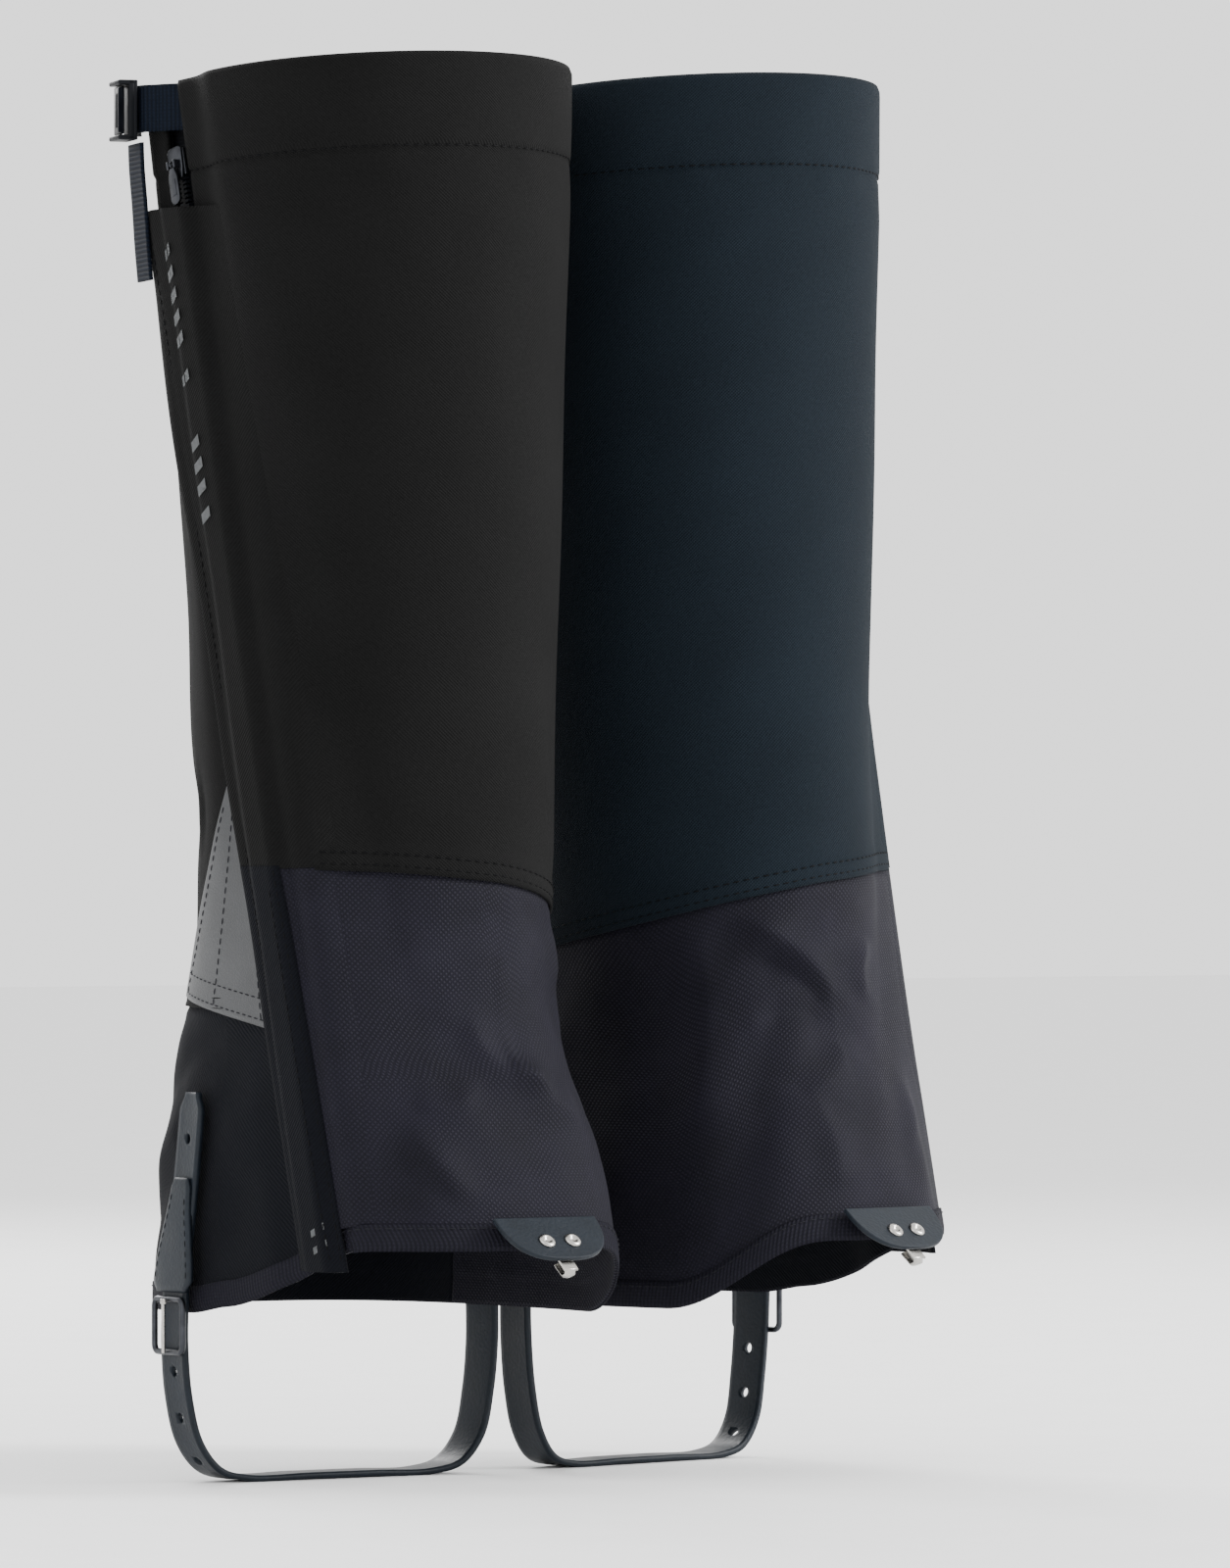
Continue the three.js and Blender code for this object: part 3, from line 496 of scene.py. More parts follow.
def ripstop():
    """Nylon ripstop for the wear panels: a fine diamond weave, its raised yarn a little lighter and glossier.
    """
    material, tree, shader = start_material(
        "ripstop_nylon", 0.7, Sheen_Weight=0.01, Sheen_Roughness=0.4, Specular_IOR_Level=0.1
    )
    uv, across, along = cloth_coordinates(tree)
    # The real diamonds are about 1 mm apart, drawn wider so that they show.
    waves = [thread_wave(tree, diagonal, 2.0) for diagonal in diagonals(tree, across, along)]
    diamond = add(tree, "Math", waves, operation="MULTIPLY")
    cloud = add(tree, "TexNoise", {"Vector": uv, "Scale": PER_MM / 30, "Detail": 3.0})
    melange = add(tree, "TexNoise", {"Vector": uv, "Scale": PER_MM / 1.2, "Detail": 3.0})
    tone = weigh(tree, -0.2, (diamond, 0.35), (cloud, 0.5), (melange, 0.25))
    tree.links.new(weigh(tree, 0.76, (diamond, -0.2)), shader.inputs["Roughness"])
    dress(tree, shader, "#08080d", "#23212e", tone, weigh(tree, 0.0, (diamond, 1.0), (melange, 0.5)), 0.2)
    return material


def webbing(name, dark, light):
    """Woven nylon webbing: rows of plump ribs across the tape, a slight gloss on the yarn."""
    material, tree, shader = start_material(name, 0.7, Specular_IOR_Level=0.06)
    uv, across, along = cloth_coordinates(tree)
    yarn = weigh(tree, 0.5, (thread_wave(tree, along, 1.3), 0.5))
    weave = add(tree, "Math", [thread_wave(tree, across, 1.7), yarn], operation="MULTIPLY")
    fuzz = add(tree, "TexNoise", {"Vector": uv, "Scale": PER_MM / 2, "Detail": 3.0})
    dress(tree, shader, dark, light, weigh(tree, 0.0, (weave, 0.6), (fuzz, 0.3)), weave, 0.3)
    return material


def knit(name, dark, light, spacing):
    """Knitted or gathered trim cloth: dull, with small stitches."""
    material, tree, shader = start_material(name, 0.88, Specular_IOR_Level=0.08)
    uv, across, along = cloth_coordinates(tree)
    waves = [thread_wave(tree, across, spacing), thread_wave(tree, along, spacing * 1.3)]
    stitch = add(tree, "Math", waves, operation="MULTIPLY")
    fuzz = add(tree, "TexNoise", {"Vector": uv, "Scale": PER_MM / 3, "Detail": 3.0})
    dress(tree, shader, dark, light, weigh(tree, 0.0, (stitch, 0.5), (fuzz, 0.4)), stitch, 0.25)
    return material


def touch_pile(name, grain):
    """Touch fastening: a dense field of small hooks or loops, almost without gloss."""
    material, tree, shader = start_material(name, 0.95, Sheen_Weight=0.05, Specular_IOR_Level=0.08)
    uv = add(tree, "UVMap", uv_map="cloth")
    pile = add(tree, "TexVoronoi", {"Vector": uv, "Scale": PER_MM / grain})
    dress(tree, shader, "#08080a", "#1a1b1e", pile, pile, 0.6)
    return material


def reflective_film():
    """Retroreflective film cloth: a sheet of glass beads in grey resin, so it has a dry, even sparkle."""
    material, tree, shader = start_material("reflective_film", 0.5, Specular_IOR_Level=0.3)
    place = add(tree, "TexCoord", out="Object")
    beads = add(tree, "TexVoronoi", {"Vector": place, "Scale": PER_MM / 0.7})
    smudge = add(tree, "TexNoise", {"Vector": place, "Scale": PER_MM / 14, "Detail": 3.0})
    tone = weigh(tree, 0.0, (beads, 0.35), (smudge, 0.6))
    dress(tree, shader, "#2b2c2d", "#434446", tone, beads, 0.08)
    return material


def coated_rubber():
    """Thermoplastic polyurethane on cloth, calendered: smooth and slightly soft, with a leathery grain."""
    material, tree, shader = start_material("coated_rubber", 0.5, IOR=1.5, Specular_IOR_Level=0.16)
    place = add(tree, "TexCoord", out="Object")
    grain = add(tree, "TexVoronoi", {"Vector": place, "Scale": PER_MM / 1.1}, feature="SMOOTH_F1")
    scuff = add(tree, "TexNoise", {"Vector": place, "Scale": PER_MM / 9, "Detail": 6.0})
    tone = weigh(tree, 0.0, (grain, 0.3), (scuff, 0.6))
    tree.links.new(weigh(tree, 0.34, (scuff, 0.25)), shader.inputs["Roughness"])
    dress(tree, shader, "#0c1015", "#1f262e", tone, weigh(tree, 0.0, (grain, 1.0), (scuff, 0.6)), 0.09)
    return material


def moulded_plastic():
    """Acetal, injection moulded: near black, satin, with a fine spark-eroded texture."""
    material, tree, shader = start_material("moulded_acetal", 0.5, IOR=1.48, Specular_IOR_Level=0.1)
    place = add(tree, "TexCoord", out="Object")
    tone = add(tree, "TexNoise", {"Vector": place, "Scale": PER_MM / 12, "Detail": 3.0})
    grain = add(tree, "TexNoise", {"Vector": place, "Scale": PER_MM / 0.5, "Detail": 2.0})
    dress(tree, shader, "#08090b", "#121419", tone, grain, 0.04)
    return material


def plated_steel(name, dark, light, roughness):
    """Plated steel, stamped and tumbled: tiny scratches, and a tone that varies in patches."""
    material, tree, shader = start_material(name, roughness, 1.0)
    place = add(tree, "TexCoord", out="Object")
    stretched = add(tree, "Mapping", {"Vector": place, "Scale": (1, 1, 14)})
    scratches = add(tree, "TexNoise", {"Vector": stretched, "Scale": PER_MM / 2.5, "Detail": 5.0})
    wear = add(tree, "TexNoise", {"Vector": place, "Scale": PER_MM / 4, "Detail": 4.0})
    tree.links.new(weigh(tree, roughness - 0.11, (scratches, 0.22)), shader.inputs["Roughness"])
    dress(tree, shader, dark, light, wear, scratches, 0.03)
    return material


def sewing_thread(name, dark, light):
    """Bonded polyester thread: two plies twisted together, a little glossier than the cloth."""
    material, tree, shader = start_material(name, 0.65, Specular_IOR_Level=0.08)
    place = add(tree, "TexCoord", out="Object")
    tone = add(tree, "TexNoise", {"Vector": place, "Scale": PER_MM, "Detail": 3.0})
    plies = add(tree, "TexNoise", {"Vector": place, "Scale": PER_MM / 0.5, "Detail": 3.0})
    dress(tree, shader, dark, light, tone, plies, 0.06)
    return material


def printed_ink():
    """Light grey transfer print: a thin satin film, slightly worn at its grain."""
    material, tree, shader = start_material("transfer_print", 0.55)
    place = add(tree, "TexCoord", out="Object")
    worn = add(tree, "TexNoise", {"Vector": place, "Scale": PER_MM / 1.5, "Detail": 5.0})
    dress(tree, shader, "#606365", "#8a8d8f", worn)
    return material


def studio_paper():
    """Matt white backdrop paper with a barely visible fibre."""
    material, tree, shader = start_material("studio_paper", 0.9)
    place = add(tree, "TexCoord", out="Object")
    fibre = add(tree, "TexNoise", {"Vector": place, "Scale": PER_MM / 40, "Detail": 3.0})
    dress(tree, shader, "#f1f1f1", "#f7f7f7", fibre)
    return material


MATERIALS = {
    "right_softshell": softshell("softshell_black", "#080808", "#181818"),
    "left_softshell": softshell("softshell_ink", "#0a0f14", "#182027"),
    "heel": softshell("softshell_heel", "#06070a", "#121319"),
    "ripstop": ripstop(),
    "webbing": webbing("nylon_webbing", "#06090f", "#121926"),
    "binding": webbing("grosgrain_binding", "#0d0d12", "#1f1e27"),
    "tape": knit("zip_tape", "#08090a", "#15161a", 0.9),
    "lining": knit("brushed_lining", "#0b0c0e", "#1b1c20", 1.2),
    "elastic": knit("ankle_elastic", "#0d0e10", "#202226", 1.6),
    "hooks": touch_pile("touch_hooks", 1.1),
    "loops": touch_pile("touch_loops", 0.8),
    "reflective": reflective_film(),
    "rubber": coated_rubber(),
    "plastic": moulded_plastic(),
    "steel": plated_steel("plated_steel", "#8d8b88", "#cfccc6", 0.26),
    "gunmetal": plated_steel("gunmetal_steel", "#1d1e21", "#4b4d52", 0.38),
    "blackened": plated_steel("blackened_steel", "#060709", "#15171c", 0.42),
    "thread": sewing_thread("black_thread", "#040405", "#0b0b0d"),
    "dark_thread": sewing_thread("grey_thread", "#121216", "#232328"),
    "print": printed_ink(),
}


# ---- stitching ----
def stitch_row(bm, points):
    """Lays small stitches end to end along a row of points, each a flattened bead."""
    travelled = np.concatenate([[0], np.cumsum(np.linalg.norm(np.diff(points, axis=0), axis=1))])
    for start in np.arange(0, travelled[-1] - STITCH_LENGTH, STITCH_LENGTH + STITCH_GAP):
        a, b = (
            Vector([np.interp(at, travelled, points[:, k]) for k in range(3)])
            for at in (start, start + STITCH_LENGTH)
        )
        turn = (b - a).to_track_quat("Z", "Y").to_matrix().to_4x4()
        size = Matrix.Diagonal((STITCH_RADIUS, STITCH_RADIUS, STITCH_LENGTH / 2, 1))
        bmesh.ops.create_uvsphere(
            bm, u_segments=5, v_segments=4, radius=1, matrix=Matrix.Translation((a + b) / 2) @ turn @ size
        )


def stitching(name, side, body, material, rows):
    bm = bmesh.new()
    for points in rows:
        stitch_row(bm, points)
    finish_piece(bm, name, side, body, material)


def around_row(start, end, height, out, folds=None, side=None):
    """A row of points round the leg, its height a function of the angle."""
    phi = np.linspace(start, end, 500)
    z = height(phi)
    extra = folds(side, phi, z) if folds else 0
    return on_leg(phi, z, out + extra)


# ---- cloth panels ----
def shell_out(phi, z):
    """The hem tunnel is doubled, and the lower edge laps over the panels below it."""
    stitched = rim_height(phi) - HEM_DEPTH
    hem = 0.5 * smoothstep(z, stitched - 0.5, stitched + 2.5)
    groove = -0.55 * np.exp(-(((z - stitched) / 1.0) ** 2))
    rows = -0.3 * np.exp(-(((z - seam_height(phi) - 5.6) / 0.9) ** 2))
    rows = rows - 0.3 * np.exp(-(((z - seam_height(phi) - 1.4) / 0.9) ** 2))
    lap = 0.9 * (1 - smoothstep(z, seam_height(phi) + 5, seam_height(phi) + 10))
    round_edge = -0.8 * smoothstep(z, rim_height(phi) - 2.2, rim_height(phi))
    return hem + groove + rows + lap + round_edge


def lower_out(phi, z):
    tucked = -0.7 * smoothstep(z, seam_height(phi) - 4, seam_height(phi) - 1)
    hem = 0.25 * (1 - smoothstep(z, hem_height(phi) + 9, hem_height(phi) + 11))
    return tucked + hem


def calf_panel(side):
    place = leg_place(
        lambda z: zip_side(z, -SLIT / 2),
        lambda z: zip_side(z, SLIT / 2) - 2 * math.pi,
        lambda phi: seam_height(phi) - 1,
        rim_height,
        shell_out, upper_folds, side,
    )
    material = f"{side}_softshell"
    cloth("calf_panel", side, "gaiter", material, 216, 170, place, SHELL, ["upper_shell"])


def front_panel(side):
    place = leg_place(
        lambda z: zip_side(z, -SLIT / 2),
        INNER_SEAM,
        hem_height,
        lambda phi: seam_height(phi) + 3,
        lower_out, lower_folds, side,
    )
    replaced = ["lower_front_panel"]
    cloth("ankle_panel", side, "gaiter", "ripstop", 200, 130, place, SHELL, replaced)


def rear_panel(side):
    place = leg_place(
        lambda z: np.full_like(z, INNER_SEAM - 0.006),
        lambda z: zip_side(z, SLIT / 2) - 2 * math.pi,
        hem_height,
        lambda phi: seam_height(phi) + 3,
        lower_out, lower_folds, side,
    )
    cloth("heel_cloth", side, "gaiter", "heel", 180, 130, place, SHELL, ["heel_panel"])


def rim_facing(side):
    """The inner layer of the hem tunnel; its upper edge shows inside the rim."""
    place = leg_place(
        lambda z: zip_side(z, -SLIT / 2 - 3),
        lambda z: zip_side(z, SLIT / 2 + 3) - 2 * math.pi,
        lambda phi: rim_height(phi) - HEM_DEPTH,
        lambda phi: rim_height(phi) - 0.4,
        lambda phi, z: -3.6 + 2.2 * smoothstep(z, rim_height(phi) - 5, rim_height(phi)),
    )
    cloth("rim_facing", side, "gaiter", "lining", 160, 18, place, 0.7, ["top_hem"])


def zip_guard(side):
    """A backing strip inside the slit's upper end, so that no gap shows above the zip."""
    place = leg_place(
        lambda z: zip_side(z, SLIT / 2 + 5),
        lambda z: zip_side(z, -SLIT / 2 - 5),
        474, lambda phi: rim_height(phi) - 1.5, -4.9,
    )
    cloth("zip_guard", side, "gaiter", "lining", 14, 20, place, 0.8)


def hem_binding(side):
    place = leg_place(
        lambda z: zip_side(z, -FLAP_HINGE - 2),
        lambda z: zip_side(z, SLIT / 2 + 2) - 2 * math.pi,
        lambda phi: hem_height(phi) - 0.5,
        lambda phi: hem_height(phi) + BINDING,
        lambda phi, z: 1.35 - 0.5 * smoothstep(hem_height(phi) + 2 - z, 0, 2.5),
    )
    bm = cloth_mesh(220, 6, place, 0.7)[0]
    finish_piece(bm, "hem_tape", side, "gaiter", "binding", ["bottom_hem"])


def elastic(side):
    def gathered(phi, z):
        return -2.6 + 0.7 * np.sin(phi * 60)

    low, high = ELASTIC_HEIGHT - ELASTIC_WIDTH / 2, ELASTIC_HEIGHT + ELASTIC_WIDTH / 2
    place = leg_place(math.radians(100), math.radians(255), low, high, gathered)
    replaced = ["ankle_elastic"]
    cloth("cinch_elastic", side, "gaiter", "elastic", 200, 6, place, 0.9, replaced)


def triangle_place():
    """The reflective triangle: a narrow top, and a foot that drops towards the front."""
    def place(u, v):
        z = lerp(TRIANGLE_LOW, TRIANGLE_HIGH, v)
        rise = np.clip((z - TRIANGLE_LOW - 4) / (TRIANGLE_HIGH - TRIANGLE_LOW - 4), 0, 1)
        front = flap_edge(z) - 4
        rear = lerp(46, flap_edge(z) + 5, rise)
        y = lerp(front, rear, u)
        drop = 8 * (1 - v) * (1 - u)
        z = z - drop + 4 * (1 - v) * u
        phi = outer_angle(y, z)
        return on_leg(phi, z, 1.5 + 0.25 * np.sin(u * 9) * (1 - v) + cinch(phi, z) * calm(phi, z))

    return place


def reflective_patch(side):
    place = triangle_place()
    replaced = ["reflective_triangle"]
    cloth("reflective_patch", side, "gaiter", "reflective", 40, 50, place, 0.5, replaced)


# ---- storm flap ----
def flap_stand(z, y):
    across = y - zip_line(np.ravel(z))[:, 1]
    over = 1 - smoothstep(np.abs(across), 5.6, 11)
    rear = smoothstep(across, -FLAP_HINGE, -4)
    sewn = smoothstep(across, -FLAP_HINGE - FLAP_LAP, -FLAP_HINGE + 1)
    return lerp(FLUSH, lerp(2.3, 4.6, rear) + 2.3 * over, sewn)


def flap_place(front, rear, low, high, lift=0.0, over_hem=False):
    """Cloth over the zip between two lines given as y at each height."""
    def place(u, v):
        z = lerp(low, high, v)
        y = lerp(front(z), rear(z), u)
        if over_hem:
            foot = np.maximum(low, hem_height(outer_angle(y, z)) + BINDING - 0.5)
            z = lerp(foot, high, v)
            y = lerp(front(z), rear(z), u)
        edge = rear(z) - y
        hem = -0.35 * np.exp(-(((edge - 5) / 0.9) ** 2))
        slack = 0.5 * np.sin(z / 19 + 0.6) * smoothstep(u, 0.45, 1) * smoothstep(z, 120, 200)
        slack = slack * (1 - smoothstep(z, 430, 455))
        return on_leg(outer_angle(y, z), z, flap_stand(z, y) + hem + slack + lift)

    return place


def flap_front(z):
    return zip_line(np.ravel(z))[:, 1] - FLAP_HINGE - FLAP_LAP


def flap_band_front(z):
    return flap_edge(z) - BAND_WIDTH


def hinge_blend(piece):
    """Bakes the piece's place in the row into its mesh."""
    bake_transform(piece)


def flap_cloth(name, side, material, columns, rows, place, replaces):
    bm, size = cloth_mesh(columns, rows, place, FLAP_THICK)
    piece = finish_piece(bm, name, side, None, material, replaces)
    hinge_blend(piece)


def flap_seam():
    return float(seam_height(math.radians(75)))


def storm_flap(side):
    low = flap_seam()
    material = f"{side}_softshell"
    upper = flap_place(flap_front, flap_edge, low - 0.5, FLAP_TOP)
    flap_cloth("flap_upper", side, material, 36, 150, upper, ["flap"])
    band = flap_place(flap_band_front, flap_edge, FLAP_BOTTOM, low + 0.5, 0.12)
    flap_cloth("flap_band", side, "heel", 16, 100, band, [])
    tucked_edge = lambda z: flap_band_front(z) + 3
    lower = flap_place(flap_front, tucked_edge, FLAP_BOTTOM + 3, low + 0.5, -0.35, True)
    flap_cloth("flap_ankle_cloth", side, "ripstop", 30, 100, lower, ["flap_lower_panel"])


def flap_line(inset, low, high, line, lift):
    """A row of points on the flap, inset forwards from one of its lines."""
    z = np.linspace(low, high, 160)
    y = line(z) - inset
    return on_leg(outer_angle(y, z), z, flap_stand(z, y) + lift)


def touch_strip(name, side, body, node, material, out):
    """One half of the touch fastening; its front edge keeps off the zip, so it tapers downwards."""
    def place(u, v):
        z = lerp(TOUCH_LOW, FLAP_TOP - 6, v)
        rear = flap_edge(z) - 2
        front = np.maximum(zip_line(z)[:, 1] + 7.5, rear - TOUCH_WIDTH)
        return on_leg(outer_angle(lerp(front, rear, u), z), z, out)

    cloth(name, side, body, material, 8, 90, place, 0.7, [node])


def printed_marks(side):
    """Plain slanted bars printed down the flap, with two small marks at its foot."""
    bm = bmesh.new()

    def bar(middle, height, width):
        y = flap_edge(np.array([middle]))[0] - 17
        corners = []
        for dz, dy in ((-1, -1), (-1, 1), (1, 1), (1, -1)):
            at_z = np.array([middle + dz * height - dy * 1.6])
            at_y = np.array([y + dy * width + dz * height * 0.25])
            lift = flap_stand(at_z, at_y) + FLAP_THICK / 2 + 0.6
            corners.append(bm.verts.new(on_leg(outer_angle(at_y, at_z), at_z, lift)[0]))
        bm.faces.new(corners)

    for middle in BAR_HEIGHTS:
        bar(middle, 1.9, 2.6)
    for middle in FOOT_MARK_HEIGHTS:
        bar(middle, 1.2, 3.0)
    bmesh.ops.solidify(bm, geom=bm.faces[:], thickness=0.08)
    bmesh.ops.recalc_face_normals(bm, faces=bm.faces[:])
    finish_piece(bm, "printed_bars", side, "storm_flap", "print")


# ---- hard pieces ----
def block(bm, x, y, z, bevel=0.0, segments=2):
    """A block between three ranges, with its edges rounded."""
    size = (x[1] - x[0], y[1] - y[0], z[1] - z[0])
    middle = Vector(((x[0] + x[1]) / 2, (y[0] + y[1]) / 2, (z[0] + z[1]) / 2))
    made = bmesh.ops.create_cube(bm, size=1, matrix=Matrix.Translation(middle) @ Matrix.Diagonal((*size, 1)))
    if bevel:
        edges = list({edge for vert in made["verts"] for edge in vert.link_edges})
        bmesh.ops.bevel(
            bm, geom=edges, offset=bevel, segments=segments, affect="EDGES", profile=0.5, material=-1
        )


def pin(bm, radius, axis, start, end, at, sides):
    """A round pin along local x or z, with a small chamfer at each end."""
    middle = (start + end) / 2
    if axis == "x":
        place = Matrix.Translation((middle, *at)) @ Matrix.Rotation(math.pi / 2, 4, "Y")
    else:
        place = Matrix.Translation((*at, middle))
    made = bmesh.ops.create_cone(
        bm, cap_ends=True, segments=sides, radius1=radius, radius2=radius, depth=end - start, matrix=place
    )
    rims = [e for v in made["verts"] for e in v.link_edges if any(len(f.verts) > 4 for f in e.link_faces)]
    bmesh.ops.bevel(
        bm, geom=list(set(rims)), offset=radius * 0.2, segments=2, affect="EDGES", profile=0.5, material=-1
    )


def plate(bm, outline, back, thick, bevel):
    """A flat plate with an outline in x and z, from y = back outwards."""
    verts = [bm.verts.new((x, back, z)) for x, z in outline]
    face = bm.faces.new(verts)
    grown = bmesh.ops.extrude_face_region(bm, geom=[face])["geom"]
    moved = [g for g in grown if isinstance(g, bmesh.types.BMVert)]
    bmesh.ops.translate(bm, verts=moved, vec=(0, thick, 0))
    edges = [e for v in verts + moved for e in v.link_edges]
    flat = [e for e in set(edges) if abs(e.verts[0].co.y - e.verts[1].co.y) < thick / 2]
    bmesh.ops.bevel(bm, geom=flat, offset=bevel, segments=3, affect="EDGES", profile=0.5, material=-1)


def wire(points, radius, cyclic=True, round_steps=3):
    """A round bar bent along a row of points, as a bmesh."""
    curve = bpy.data.curves.new("wire", "CURVE")
    curve.dimensions = "3D"
    curve.bevel_depth = radius
    curve.bevel_resolution = round_steps
    curve.use_fill_caps = True
    spline = curve.splines.new("POLY")
    spline.points.add(len(points) - 1)
    for place, point in zip(spline.points, points):
        place.co = (*point, 1)
    spline.use_cyclic_u = cyclic
    holder = bpy.data.objects.new("wire", curve)
    bm = bmesh.new()
    bm.from_mesh(holder.to_mesh())
    holder.to_mesh_clear()
    bpy.data.objects.remove(holder)
    bpy.data.curves.remove(curve)
    return bm


def rounded_loop(half_width, top, bottom, corner):
    """Points of a rectangle in x and z with rounded corners."""
    points = []
    steps = 6
    for sx, z, start in ((1, top, 0), (1, bottom, -90), (-1, bottom, -180), (-1, top, -270)):
        inner = (sx * (half_width - corner), z - corner if z == top else z + corner)
        for step in range(steps + 1):
            angle = math.radians(start + 90 - 90 * step / steps)
            points.append((inner[0] + corner * math.cos(angle), 0, inner[1] + corner * math.sin(angle)))
    return points


def close_seams(bm):
    bmesh.ops.remove_doubles(bm, verts=bm.verts[:], dist=1e-4)
    bmesh.ops.recalc_face_normals(bm, faces=bm.faces[:])


def carry(points, matrix):
    turn = np.array(matrix)
    return points @ turn[:3, :3].T + turn[:3, 3]


def zip_fastener(side):
    at = zip_matrix()
    for row, sign in (("front", -1), ("rear", 1)):
        bm = bmesh.new()
        for i in range(int(ZIP_LENGTH / TOOTH_PITCH)):
            z = i * TOOTH_PITCH + (TOOTH_PITCH / 2 if sign > 0 else 0) + 0.3
            block(bm, sorted((sign * -0.7, sign * 2.8)), (-1.0, 1.1), (z, z + 0.95))
        finish_piece(bm, f"zip_teeth_{row}", side, "gaiter", "plastic", place=at, smooth=False)

        def tape(u, v, sign=sign):
            x = lerp(0.9, 12, u) * sign
            y = -1.5 - 0.25 * np.exp(-(((np.abs(x) - 7) / 0.8) ** 2))
            return carry(np.stack([x, y, v * ZIP_LENGTH], axis=1), at)

        replaced = [f"zip_tape_{row}"]
        cloth(f"zip_cloth_{row}", side, "gaiter", "tape", 10, 120, tape, 0.7, replaced)


def zip_stop(side):
    bm = bmesh.new()
    block(bm, (-4.2, 4.2), (-2.4, 1.8), (-7, -0.4), 0.7, 3)
    block(bm, (-1.6, 1.6), (1.7, 2.5), (-6, -1), 0.3)
    finish_piece(bm, "zip_stop", side, "gaiter", "plastic", ["zip_box"], zip_matrix())


def zip_slider(side):
    """Two shields joined by a post, with side flanges, and lugs and a pin for the puller."""
    place = zip_matrix() @ Matrix.Translation((0, 0, ZIP_LENGTH - SLIDER_DROP))
    bm = bmesh.new()
    shield = [(-4.4, 11), (-2.6, 12), (2.6, 12), (4.4, 11), (4.1, 4), (3.2, 0.2), (-3.2, 0.2), (-4.1, 4)]
    plate(bm, shield, 1.7, 1.2, 0.35)
    plate(bm, shield, -3.6, 1.2, 0.35)
    block(bm, (-0.45, 0.45), (-2.5, 1.8), (9, 11.5), 0.1)
    block(bm, (-4.4, -3.6), (0.3, 1.8), (1, 11), 0.2)
    block(bm, (3.6, 4.4), (0.3, 1.8), (1, 11), 0.2)
    for x in (-2.1, 2.1):
        block(bm, (x - 0.5, x + 0.5), (2.8, 5.2), (4, 7), 0.3)
    pin(bm, 0.5, "x", -2.2, 2.2, (4.3, 5.5), 10)
    finish_piece(bm, "zip_runner", side, "slider", "gunmetal", ["zip_slider"], place)


def zip_pull(side):
    place = zip_matrix() @ Matrix.Translation((0, 4.3, ZIP_LENGTH - SLIDER_DROP + 5.5))
    bm = wire(rounded_loop(0.95, 0.95, -0.95, 0.9), 0.32)
    bmesh.ops.rotate(bm, verts=bm.verts[:], matrix=Matrix.Rotation(math.pi / 2, 3, "Z"))
    outline = [(-1.35, -1.3), (1.35, -1.3), (2.7, -5), (2.7, -12.6)]
    outline += [(2.7 * math.cos(a), -12.6 - 2.4 * math.sin(a)) for a in np.linspace(0.25, math.pi - 0.25, 9)]
    outline += [(-2.7, -12.6), (-2.7, -5)]
    plate(bm, outline, -0.55, 1.1, 0.25)
    block(bm, (-1.5, 1.5), (0.5, 0.75), (-11.5, -5.5), 0.1)
    finish_piece(bm, "zip_puller", side, "pull", "gunmetal", ["zip_pull"], place)


# ---- calf strap and cam buckle ----
def calf_strap(side):
    """Inside the hem tunnel round the leg, out through the slit, and on to the buckle."""
    inside = -1.8 - WEBBING_THICK / 2
    start = math.radians(-215)

    def place(u, v):
        phi = lerp(start, BUCKLE_ANGLE + math.radians(4), u)
        front = zip_side(np.full_like(phi, STRAP_CENTRE), -SLIT / 2 + 0.5)
        rise = smoothstep(phi - front, 0, math.radians(8))
        lift = smoothstep((phi - front - math.radians(8)) / (BUCKLE_ANGLE - front - math.radians(12)), 0, 1)
        out = lerp(inside, 2.4, rise) + (BUCKLE_OUT - 1.6) * lift * 0.8
        return on_leg(phi, STRAP_CENTRE + (v - 0.5) * WEBBING_WIDTH, out)

    replaced = ["top_strap"]
    cloth("calf_webbing", side, "gaiter", "webbing", 220, 8, place, WEBBING_THICK, replaced)


def smooth_path(points, count):
    """Evenly spaced points on one smooth curve through a list (centripetal Catmull-Rom)."""
    points = [np.asarray(p, float) for p in points]
    points = [2 * points[0] - points[1], *points, 2 * points[-1] - points[-2]]
    levels = (((0, 1), (1, 2), (2, 3)), ((0, 2), (1, 3)), ((1, 2),))  # each step's knots
    dense = []
    for four in zip(points, points[1:], points[2:], points[3:]):
        knots = np.cumsum([0] + [math.sqrt(np.linalg.norm(b - a)) for a, b in zip(four, four[1:])])
        for t in np.linspace(knots[1], knots[2], 24, endpoint=False):
            row = four
            for spans in levels:
                shares = [(t - knots[i]) / (knots[j] - knots[i]) for i, j in spans]
                row = [lerp(a, b, share) for a, b, share in zip(row, row[1:], shares)]
            dense.append(row[0])
    dense = np.array(dense + [points[-2]])
    travelled = np.concatenate([[0], np.cumsum(np.linalg.norm(np.diff(dense, axis=0), axis=1))])
    even = np.linspace(0, travelled[-1], count)
    return np.stack([np.interp(even, travelled, dense[:, k]) for k in range(3)], axis=1)


def buckle_place():
    return stand_on(BUCKLE_ANGLE, STRAP_CENTRE, BUCKLE_OUT + 2.2)


